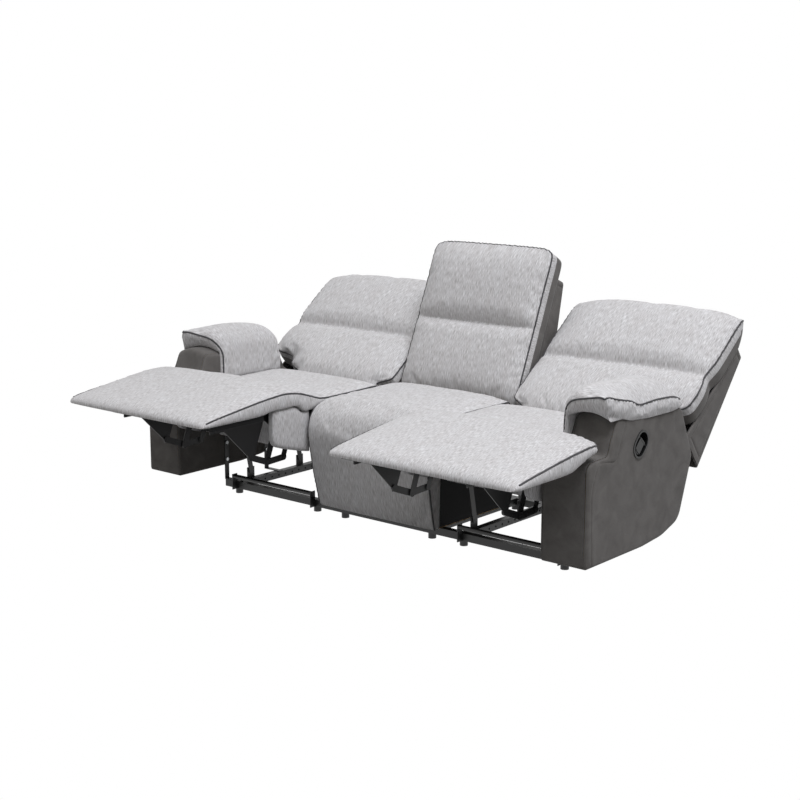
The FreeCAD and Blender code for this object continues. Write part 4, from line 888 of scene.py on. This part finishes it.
upright = leaning(390, 23)
back, keys, crease = back_cover("centre_back_cover", centre_back_shape, CENTRE_BACK_CELLS,
                                upright, BACK_SHARE)
wide, long, tall = CENTRE_BACK_CELLS
rim = [(0, row, tall) for row in range(4, long)] \
    + [(column, long, tall) for column in range(wide + 1)] \
    + [(wide, row, tall) for row in range(long - 1, 3, -1)]
gather(back, line_of(back, keys, rim), depth=0.0013, pitch=0.019, fade=0.035, seed=1.0)
gather(back, line_of(back, keys, crease), depth=0.0016, pitch=0.024, fade=0.045, seed=2.0)
suede_behind(back, upright, SUEDE_DEPTH, CENTRE_BACK_TOP)
cord = piping("centre_back_piping", [line_of(back, keys, rim)])
declare(back, cord, "root", 0.7, "centre_back_cushion")

# Backs of the motion seats. A full-width chenille cushion in two lobes rolls over the top, and
# its outer side has a corded seam and a wing that swells out above the arm.
RECLINER_ROWS = (
    (0, 30, -22, 26, -22, 104, -22),
    (30, 27, 8, 2, 6, 104, 8),
    (90, 25, 68, -12, 66, 104, 66),
    (160, 25, 138, -17, 136, 104, 136),
    (230, 25, 206, -13, 206, 104, 204),
    (282, 27, 258, -6, 261, 104, 256),
    (302, 30, 277, 10, 279, 104, 274),
    (310, 31, 285, 26, 285, 104, 282),
    (318, 30, 293, 10, 291, 104, 288),
    (338, 27, 313, -8, 310, 104, 304),
    (410, 25, 385, -15, 386, 104, 360),
    (480, 25, 455, -17, 456, 104, 412),
    (550, 26, 526, -11, 531, 104, 464),
    (590, 31, 565, 0, 576, 104, 494),
    (622, 45, 592, 18, 608, 104, 520),
    (655, 66, 605, 46, 624, 104, 546),
    (685, 88, 600, 77, 618, 104, 562),
    (705, 101, 586, 100, 598, 104, 574),
)
RECLINER_INNER = ((366, 0), (358, 40), (330, 58), (304, 72), (298, 96), (297, 150), (297, 240),
                  (301, 310), (297, 380), (297, 470), (297, 560), (300, 610), (314, 655),
                  (336, 690), (352, 705))
RECLINER_OUTER = ((790, 0), (798, 40), (830, 58), (858, 72), (864, 92), (880, 112), (920, 124),
                  (972, 132), (1000, 150), (1008, 190), (1007, 250), (993, 310), (1007, 372),
                  (1010, 440), (1010, 540), (1008, 590), (998, 632), (980, 668), (950, 700),
                  (936, 705))
RECLINER_CELLS = (70, 74, 5)
RECLINER_SHARE = 0.46
RECLINER_SUEDE_TOP = 560
recliner_inner = memo(RECLINER_CELLS[1], split_course(RECLINER_INNER, 7, RECLINER_SHARE))
recliner_outer = memo(RECLINER_CELLS[1], split_course(RECLINER_OUTER, 11, RECLINER_SHARE))


def recliner_shape(a, b, c):
    x, run = recliner_inner(b).lerp(recliner_outer(b), a)
    depth, height, rear_depth, rear_height = section(RECLINER_ROWS, run, dome(a, 3.4))
    out = bulge(c, 6)
    return (x + out * edge_side(a), mix(rear_depth, depth, c),
            mix(rear_height, height, c) - out * (1 - ease(b, 0, 0.03)))


reclined = leaning(322, 53)
back, keys, crease = back_cover("right_back_cover", recliner_shape, RECLINER_CELLS, reclined,
                                RECLINER_SHARE)
wide, long, tall = RECLINER_CELLS
outer_rim = [(wide, row, tall) for row in range(4, long - 1)]
inner_rim = [(0, row, tall) for row in range(4, long - 1)]
gather(back, line_of(back, keys, outer_rim), depth=0.0014, pitch=0.020, fade=0.038, seed=4.0)
gather(back, line_of(back, keys, inner_rim), depth=0.0010, pitch=0.022, fade=0.030, seed=6.0)
gather(back, line_of(back, keys, crease), depth=0.0018, pitch=0.026, fade=0.050, seed=8.0)
suede_behind(back, reclined, SUEDE_DEPTH, RECLINER_SUEDE_TOP)
cords = piping("right_back_piping", [line_of(back, keys, outer_rim),
                                     line_of(back, keys, inner_rim)])
for side in SIDES:
    cover, cord = on_side(back, side), on_side(cords, side)
    declare(cover, cord, side + "_back", 0.7, side + "_back_cushion")

# Back shells. Suede over card and a thin board, open in front and below, deep at the foot and
# thin at the top, with a plain seam 25 mm inside each edge.
SHELL_WALL = 8
SHELL_FRONT = 105.5
SHELL_THIN = 150
SHELL_DEEP = 265
SHELL_ROUND = 14
SHELL_SEAM = 25


def edge_lines(length, cell, radius):
    """Grid lines over a length in millimetres, closer together in its rounded ends."""
    near = [radius * share for share in (0, 0.15, 0.4, 0.7, 1.0)]
    seam = [SHELL_SEAM + step for step in (-3, -1.5, 0, 1.5, 3)]
    start = SHELL_SEAM + 3 + cell / 2
    count = max(1, round((length - 2 * start) / cell))
    middle = [start + (length - 2 * start) * index / count for index in range(count + 1)]
    lower = near + seam
    return lower + middle + [length - value for value in reversed(lower)]


def shell(name, x_start, x_end, foot, top, place):
    """Rounded wedge with its front and its foot left open and a wall of card."""
    lines = [edge_lines(x_end - x_start, 24, SHELL_ROUND), edge_lines(top - foot, 24, SHELL_ROUND),
             edge_lines(SHELL_DEEP - SHELL_FRONT, 24, SHELL_ROUND)]
    sizes = [line[-1] for line in lines]
    cells = [len(line) - 1 for line in lines]

    def groove(flat):
        """How far a face point sinks at the seam, from its distances to the face's edges."""
        nearest = min(min(value, size - value) for value, size in flat)
        return 1.8 * math.exp(-((nearest - SHELL_SEAM) / 2.0) ** 2)

    def shape(a, b, c):
        spot = [line[round(share * (len(line) - 1))] for line, share in zip(lines, (a, b, c))]
        low = (SHELL_ROUND, -1e4, -1e4)
        high = (sizes[0] - SHELL_ROUND, sizes[1] - SHELL_ROUND, sizes[2] - SHELL_ROUND)
        core = [max(l, min(h, value)) for value, l, h in zip(spot, low, high)]
        away = Vector([value - inside for value, inside in zip(spot, core)])
        sunk = 0.0
        if spot[0] in (0, sizes[0]):
            sunk = groove([(spot[1], sizes[1]), (spot[2], sizes[2])])
        elif spot[2] == sizes[2]:
            sunk = groove([(spot[0], sizes[0]), (spot[1], sizes[1])])
        if away.length > 1e-6:
            away = away.normalized() * (SHELL_ROUND - sunk)
        x, height, depth = [inside + out for inside, out in zip(core, away)]
        deepest = mix(SHELL_DEEP, SHELL_THIN, height / sizes[1])
        share = depth / sizes[2]
        return x_start + x, mix(SHELL_FRONT, deepest, share), foot + height

    piece, _ = skin(name, shape, cells, place, BACK_CAP_AXES, {(2, 0), (1, 0)})
    wall = piece.modifiers.new("Wall", "SOLIDIFY")
    wall.thickness = SHELL_WALL / 1000
    wall.offset = -1.0
    settled(piece)
    piece.data.shade_smooth()
    piece.data.materials.append(BACK_SUEDE)
    return piece


centre_shell = shell("centre_back_cover_shell", -281, 281, -22, 512, upright)
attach(centre_shell, "root")
stand_in(centre_shell, "suede", "centre_back_shell")
right_shell = shell("right_back_cover_shell", 300, 1005, 56, 512, reclined)
for side in SIDES:
    cover = on_side(right_shell, side)
    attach(cover, side + "_back")
    stand_in(cover, "suede", side + "_back_shell")

# Arms. A pine and board box padded thinly and covered in brushed suede, with a flat seam 30 mm
# inside the edge of the outer face and an oval opening there for the handle cup.
ARM_IN = 867
ARM_OUT = 1047
ARM_ROUND = 10
ARM_STEP = 15
ARM_STEP_HEIGHT = (453, 462)
# Side view from the lower front corner, with the radius of each corner: y, z, radius
ARM_CORNERS = ((-256, 105, 10), (90, 105, 240), (214, 115, 200), (326, 150, 70), (405, 366, 50),
               (324, 541, 40), (296, 556, 30), (-84, 556, 26), (-118, 500, 10),
               (-134, 456, 22), (-256, 452, 36))
# Flat seam of the outer face from the hem at the front, round to the heel: y, z
ARM_SEAM = ((-228, 112), (-234, 230), (-236, 337), (-222, 395), (-195, 440), (-154, 441),
            (-106, 436), (-84, 455), (-67, 501), (-40, 546))
CUP = (56, 465)
CUP_TILT = math.radians(47)
CUP_HALF = 12
CUP_HOLE = 33.6


def rounded(corners, spacing):
    """Closed outline with its corners rounded, as points a given distance apart."""
    dense = []
    count = len(corners)
    for index in range(count):
        here = Vector(corners[index][:2])
        before, after = Vector(corners[index - 1][:2]), Vector(corners[(index + 1) % count][:2])
        back, forth = (before - here), (after - here)
        half_angle = back.angle(forth) / 2
        cut = corners[index][2] / math.tan(half_angle)
        cut = min(cut, back.length * 0.49, forth.length * 0.49)
        start, end = here + back.normalized() * cut, here + forth.normalized() * cut
        for step in range(9):
            t = step / 8
            dense.append(start * (1 - t) ** 2 + here * 2 * t * (1 - t) + end * t ** 2)
    return spaced(dense + [dense[0]], spacing)[:-1]


def spaced(line, spacing):
    """Points at even distances along a line."""
    total = sum((end - start).length for start, end in zip(line, line[1:]))
    count = max(2, round(total / spacing))
    made = [line[0].copy()]
    run = 0.0
    for start, end in zip(line, line[1:]):
        length = (end - start).length
        while len(made) < count and run + length >= total * len(made) / count - 1e-9:
            share = (total * len(made) / count - run) / max(length, 1e-9)
            made.append(start.lerp(end, share))
        run += length
    made.append(line[-1].copy())
    return made


def nearness(line):
    """Distance from a point to a line, looked up among points 0.7 mm apart."""
    tree = tree_of([(point[0], point[1], 0) for point in spaced(line, 0.7)])
    return lambda spot: tree.find((spot[0], spot[1], 0))[2]


def offset_line(line, distance, closed=False):
    """Points beside a line, each moved along its own normal."""
    made = []
    count = len(line)
    for index in range(count):
        before = line[index - 1] if closed or index else line[0]
        after = line[(index + 1) % count] if closed or index < count - 1 else line[-1]
        along = (after - before).normalized()
        made.append(line[index] + Vector((-along[1], along[0])) * distance)
    return made


def direction(angle):
    """Unit vector of the side view."""
    return Vector((math.cos(angle), math.sin(angle)))


def in_cup(spot):
    """Whether a point of the side view lies inside the cup's opening."""
    offset = Vector(spot[:2]) - Vector(CUP)
    along = direction(CUP_TILT)
    run = max(-CUP_HALF, min(CUP_HALF, offset.dot(along)))
    return (offset - along * run).length < CUP_HOLE - 0.05


# Rings of points inside the outline and beside the seam, and a square grid between them
OUTLINE_RINGS = (1.2, 3.5, 6.5, 10.0)
SEAM_RINGS = (-4.5, -2.0, 0.0, 2.0, 4.5)
GRID = 14
GRID_ROWS = range(-19, 31)
GRID_COLUMNS = range(7, 42)
outline = rounded(ARM_CORNERS, 7.0)
seam_line = spaced([Vector(point) for point in
                    (course(ARM_SEAM)(step / 120) for step in range(121))], 6.0)
cup_rim = []
for end in (1, -1):
    for step in range(15):
        angle = CUP_TILT + (0 if end > 0 else math.pi) - math.pi / 2 + math.pi * step / 14
        heart = Vector(CUP) + direction(CUP_TILT) * CUP_HALF * end
        cup_rim.append(heart + direction(angle) * CUP_HOLE)
to_outline = nearness(outline + [outline[0]])
to_seam = nearness(seam_line)
spots = list(outline) + cup_rim
for depth in OUTLINE_RINGS:
    spots += [spot for spot in offset_line(outline, depth, True) if to_outline(spot) > depth * 0.96]
for distance in SEAM_RINGS:
    spots += [spot for spot in offset_line(seam_line, distance) if to_outline(spot) > 12]
for row in GRID_ROWS:
    for column in GRID_COLUMNS:
        spot = Vector((row * GRID, column * GRID))
        if to_outline(spot) > 15 and to_seam(spot) > 9 and not in_cup(spot):
            spots.append(spot)
loop = list(range(len(outline)))
rim = list(range(len(outline), len(outline) + len(cup_rim)))
edges = [(rim[index - 1], rim[index]) for index in range(len(rim))]
flat, _, triangles, _, _, _ = delaunay_2d_cdt(spots, edges, [loop], 1, 0.01)


def arm_dome(x, y, z):
    """Rise of the front of the arm's top under its pad."""
    across = max(0.0, 1 - ((x - 965) / 98) ** 2)
    return 32 * across * (1 - ease(y, -20, 40)) * ease(z, 505, 552)


def arm_point(x, spot):
    """Point at x over a spot of the side view, as x, y and z."""
    return x, spot[0], spot[1] + arm_dome(x, spot[0], spot[1])


def arm_step(spot):
    """How far the inner face stands back where the pad covers it."""
    return ARM_STEP * ease(spot[1], *ARM_STEP_HEIGHT)


def arm_face(x_face, inwards, grooved):
    """Height of a face point: rounded at the outline and sunk at the seam."""
    def place(spot):
        distance = to_outline(spot)
        drop = 0.0
        if distance < ARM_ROUND:
            drop = ARM_ROUND - math.sqrt(max(0.0, ARM_ROUND ** 2 - (ARM_ROUND - distance) ** 2))
        if grooved:
            drop += 2.4 * math.exp(-(to_seam(spot) / 2.2) ** 2)
            drop -= 2.0 * (1 - ease(to_seam(spot), 4, 26)) * ease(distance, 8, 16)
        else:
            drop += arm_step(spot)
        return arm_point(x_face + inwards * drop, spot)
    return place


def arm_cover():
    """Suede cover of the right arm."""
    points = []
    faces = []
    for x_face, inwards, grooved in ((ARM_OUT, -1, True), (ARM_IN, 1, False)):
        start = len(points)
        place = arm_face(x_face, inwards, grooved)
        points += [place(spot) for spot in flat]
        for triangle in triangles:
            centre_spot = sum((flat[index] for index in triangle), Vector((0, 0))) / 3
            if not (grooved and in_cup(centre_spot)):
                faces.append([start + index for index in triangle])
    band = 8
    rows = []
    for step in range(band + 1):
        rows.append(len(points))
        for spot in outline:
            near = ARM_IN + ARM_ROUND + arm_step(spot)
            points.append(arm_point(mix(near, ARM_OUT - ARM_ROUND, step / band), spot))
    count = len(outline)
    for step in range(band):
        for index in range(count):
            after = (index + 1) % count
            faces.append([rows[step] + index, rows[step] + after,
                          rows[step + 1] + after, rows[step + 1] + index])
    mesh = bpy.data.meshes.new("right_arm_cover")
    mesh.from_pydata([at(point) for point in points], [], faces)
    outward(mesh, weld=0.0006)
    mesh.shade_smooth()
    mesh.materials.append(BACK_SUEDE)
    return linked("right_arm_cover", mesh)


arm = arm_cover()
for side in SIDES:
    cover = on_side(arm, side)
    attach(cover, "root")
    stand_in(cover, "suede", side + "_arm_shell", side + "_arm_outer_panel",
             side + "_arm_inner_panel")

# Arm pads. A fibre-filled chenille pillow sewn over each arm: a skirt down the inner face, a
# crowned top and a thick gusset that hangs over the outer face, with a corded seam between. The
# left one lies further back at its front.
# Stations along the arm: y of the section, top z, seam z, gusset foot z, seam x, gusset foot x
PAD_ROWS = (
    (-150, 658, 648, 584, 1036, 1036),
    (-135, 664, 648, 584, 1043, 1042),
    (-103, 668, 639, 580, 1046, 1047),
    (-60, 670, 630, 568, 1048, 1050),
    (-15, 670, 620, 555, 1049, 1049),
    (30, 669, 602, 551, 1046, 1047),
    (55, 668, 597, 549, 1045, 1047),
    (90, 668, 599, 547, 1048, 1050),
    (146, 665, 601, 546, 1050, 1051),
    (210, 659, 598, 545, 1050, 1051),
    (261, 646, 592, 546, 1048, 1051),
    (300, 626, 580, 552, 1044, 1048),
    (322, 604, 571, 560, 1040, 1044),
    (331, 584, 566, 564, 1036, 1040),
)
PAD_START = PAD_ROWS[0][0]
PAD_END = PAD_ROWS[-1][0]
PAD_HEM = 461
PAD_INNER = 868
PAD_CELLS = (60, 44, 4)
PAD_SEAM_ROW = 34
# Underside on the arm: x at the skirt, at the outer fold and at the gusset's foot, and z
PAD_BED_X = (884, 1040, 1047)
PAD_BED_Z = 558
# Length over which the front face turns into the top
PAD_NOSE = 70
PAD_PRESSURE = 1.6
PAD_REACH = 0.006
# Upper edge of the front face, from the inner hem: x, z
PAD_FRONT = ((868, 461), (868, 540), (874, 580), (888, 606), (912, 626), (970, 641),
             (1014, 650), (1036, 648))


def pad_section(y):
    """Seam line and crown of the pad at one station, as paths from the hem to the seam."""
    top, seam_z, foot_z, seam_x, foot_x = between(PAD_ROWS, y)
    crown = course(((PAD_INNER, PAD_HEM), (PAD_INNER, top - 110), (PAD_INNER + 2, top - 66),
                    (PAD_INNER + 16, top - 26), (PAD_INNER + 44, top - 4), (930, top),
                    (980, top - 7), (1020, mix(top, seam_z, 0.45)), (seam_x, seam_z)))
    return crown, seam_z, foot_z, seam_x, foot_x


pad_front = course(PAD_FRONT)
steps = [ease(index / PAD_CELLS[0], -0.25, 1.25) for index in range(PAD_CELLS[0] + 1)]
pad_ys = [mix(PAD_START, PAD_END, (step - steps[0]) / (steps[-1] - steps[0]))
          for step in steps]
pad_sections = [pad_section(y) for y in pad_ys]


def pad_outer_surface(index, b):
    """Point of the pad's outer surface at a station, as x, y and z."""
    y = pad_ys[index]
    crown, seam_z, foot_z, seam_x, foot_x = pad_sections[index]
    seam_share = PAD_SEAM_ROW / PAD_CELLS[1]
    blunt = math.sqrt(max(0.0, 1 - (1 - min(1.0, (y - PAD_START) / PAD_NOSE)) ** 2))
    if b <= seam_share:
        share = b / seam_share
        x, z = crown(share)
        front_x, front_z = pad_front(share)
        x, z = mix(front_x, x, blunt), mix(front_z, z, blunt)
    else:
        share = (b - seam_share) / (1 - seam_share)
        x = mix(seam_x, foot_x, share) + 7 * math.sin(math.pi * share)
        z = mix(mix(PAD_FRONT[-1][1], seam_z, blunt), foot_z, share)
    leaning_in = 22 * (1 - ease(z, 560, 640)) * (1 - ease(y, PAD_START, -90))
    tail = 10 * ease(y, 300, PAD_END) * (1 - ease(z, 560, 600))
    return x, y + leaning_in - tail, z


def pad_inner_surface(index, b):
    """Point of the pad's underside, which lies on the arm."""
    y = pad_ys[index]
    skirt_share, top_share = 0.34, 0.92
    skirt_x, fold_x, foot_x = PAD_BED_X
    z = PAD_BED_Z
    if b <= skirt_share:
        x, z = skirt_x, mix(PAD_HEM, PAD_BED_Z, b / skirt_share)
    elif b <= top_share:
        x = mix(skirt_x, fold_x, (b - skirt_share) / (top_share - skirt_share))
    else:
        x = mix(fold_x, foot_x, (b - top_share) / (1 - top_share))
    z += arm_dome(x, y, 556) + 1
    return x, y + 20 * (1 - ease(y, PAD_START, -128)), z


def pad_shape(a, b, c):
    index = round(a * PAD_CELLS[0])
    outer, inner = pad_outer_surface(index, b), pad_inner_surface(index, b)
    point = [mix(low, high, c) for low, high in zip(inner, outer)]
    if index == 0:
        point[1] -= bulge(c, 5)
    return tuple(point)


def pad_chart(point):
    """Seam coordinates of the pad, which run over the arm from the hem to the gusset."""
    x, y, z = point
    top = between(PAD_ROWS, max(PAD_START, min(PAD_END, y)))[0]
    return y, x + (z if x < 930 else 2 * top - z)


PAD_TIP = 1.036
PAD_WIDTH = 0.168


def drawn_back(piece, start, end):
    """Draw the front end of a pad back, most at its inner face and less towards its rear."""
    for vertex in piece.data.vertices:
        inner_share = max(0.0, min(1.0, (PAD_TIP - abs(vertex.co.x)) / PAD_WIDTH))
        amount = 0.078 + 0.046 * inner_share
        vertex.co.y += amount * (1 - ease(vertex.co.y, start, end))


pad, keys = skin("right_arm_pad_cover", pad_shape, PAD_CELLS, at, (0, 2), chart=pad_chart)
long, wide, tall = PAD_CELLS
front_edge = [(0, row, tall) for row in range(PAD_SEAM_ROW + 1)]
side_edge = [(column, PAD_SEAM_ROW, tall) for column in range(long + 1)]
held = [index for key, index in keys.items()
        if key[2] < 2 or key in front_edge or key in side_edge or key[1] in (0, wide)]
inflate(pad, held, PAD_PRESSURE, PAD_REACH)
refine(pad)
side_line = line_of(pad, keys, side_edge)
front_line = line_of(pad, keys, front_edge)
gather(pad, side_line, depth=0.0020, pitch=0.024, fade=0.045, seed=11.0)
gather(pad, front_line, depth=0.0014, pitch=0.022, fade=0.035, seed=12.0)
pad.data.materials.append(CHENILLE)
cords = piping("right_arm_pad_piping", [front_line + side_line[1:]])
for side in SIDES:
    cover, cord = on_side(pad, side), on_side(cords, side)
    if side == "left":
        for piece in (cover, cord):
            drawn_back(piece, at((0, PAD_START, 0)).y, at((0, 230, 0)).y)
    declare(cover, cord, "root", 0.7, side + "_arm_pad")

# Handles. A moulded black cup with a flange is let into the outer face of each arm, and a
# moulded pull lever turns on a pin across it.
for side in SIDES:
    dress(MOULDED_PLASTIC, side + "_handle_cup", side + "_handle")

# Studio. A white floor and background, one large soft lamp high above to the right, a weak one
# from the left front and a sky that is brightest overhead, as for a catalogue picture.


def seen_directly(tree):
    """1 for rays of the camera, also by way of glass or a glossy surface, and 0 for others."""
    path = add(tree, "ShaderNodeLightPath")
    seen = path.outputs["Is Camera Ray"]
    for other in ("Is Glossy Ray", "Is Transmission Ray"):
        seen = add(tree, "ShaderNodeMath", {0: seen, 1: path.outputs[other]},
                   operation="MAXIMUM").outputs[0]
    return seen


def white_to_camera(name, colour):
    """Floor finish that lights the object as its own colour and is seen as plain white."""
    material, tree, shader = new_material(name, Roughness=0.9)
    shader.inputs["Base Color"].default_value = linear(colour)
    light = add(tree, "ShaderNodeEmission", {"Color": linear("#FFFFFF"), "Strength": 1.0})
    blend = add(tree, "ShaderNodeMixShader", {0: seen_directly(tree),
                                              1: shader.outputs["BSDF"],
                                              2: light.outputs["Emission"]})
    output = [node for node in tree.nodes if node.type == "OUTPUT_MATERIAL"][0]
    tree.links.new(blend.outputs["Shader"], output.inputs["Surface"])
    return material


FLOOR_HALF = 60.0
floor_mesh = bpy.data.meshes.new("floor")
floor_mesh.from_pydata([(x * FLOOR_HALF, y * FLOOR_HALF, 0)
                        for x, y in ((-1, -1), (1, -1), (1, 1), (-1, 1))], [], [(0, 1, 2, 3)])
floor_mesh.materials.append(white_to_camera("white_floor", "#8C8C8C"))
linked("floor", floor_mesh)

world = bpy.data.worlds.new("studio")
world.use_nodes = True
sky = world.node_tree
sky.nodes.clear()
AMBIENT_LOW = 0.14
AMBIENT_HIGH = 0.74
ray = add(sky, "ShaderNodeNewGeometry").outputs["Position"]
ray_parts = add(sky, "ShaderNodeSeparateXYZ", {"Vector": ray})
height = add(sky, "ShaderNodeMapRange", {"Value": ray_parts.outputs["Z"],
                                         "To Min": AMBIENT_LOW, "To Max": AMBIENT_HIGH})
level = add(sky, "ShaderNodeMapRange", {"Value": seen_directly(sky),
                                        "To Min": height.outputs["Result"], "To Max": 1.0})
glow = add(sky, "ShaderNodeBackground", {"Color": linear("#FFFFFF"),
                                         "Strength": level.outputs["Result"]})
add(sky, "ShaderNodeOutputWorld", {"Surface": glow.outputs["Background"]})
bpy.context.scene.world = world


def soft_lamp(name, place, target, size, power, colour):
    """Square soft box that faces a point."""
    data = bpy.data.lights.new(name, "AREA")
    data.shape = "SQUARE"
    data.size = size
    data.energy = power
    data.color = linear(colour)[:3]
    lamp = linked(name, data)
    lamp.location = place
    aim = Vector(target) - Vector(place)
    lamp.rotation_euler = aim.to_track_quat("-Z", "Y").to_euler()


soft_lamp("key_soft_box", (3.4, -1.0, 7.6), (0.0, 0.0, 0.4), 4.0, 470.0, "#F8F9FF")
soft_lamp("fill_soft_box", (-2.6, -3.4, 2.4), (0.0, 0.0, 0.5), 2.4, 5.0, "#FFF4EC")

camera_data = bpy.data.cameras.new("camera")
camera_data.lens = 68.5
camera_data.sensor_width = 36.0
camera = linked("camera", camera_data)
camera.location = (3.581, -4.2869, 1.591)
VIEW_AZIMUTH = math.radians(40.06)
VIEW_PITCH = math.radians(11.33)
away = Vector((math.sin(VIEW_AZIMUTH) * math.cos(VIEW_PITCH),
               -math.cos(VIEW_AZIMUTH) * math.cos(VIEW_PITCH), math.sin(VIEW_PITCH)))
camera.rotation_euler = (-away).to_track_quat("-Z", "Y").to_euler()
bpy.context.scene.camera = camera
bpy.context.scene.view_settings.view_transform = "Standard"
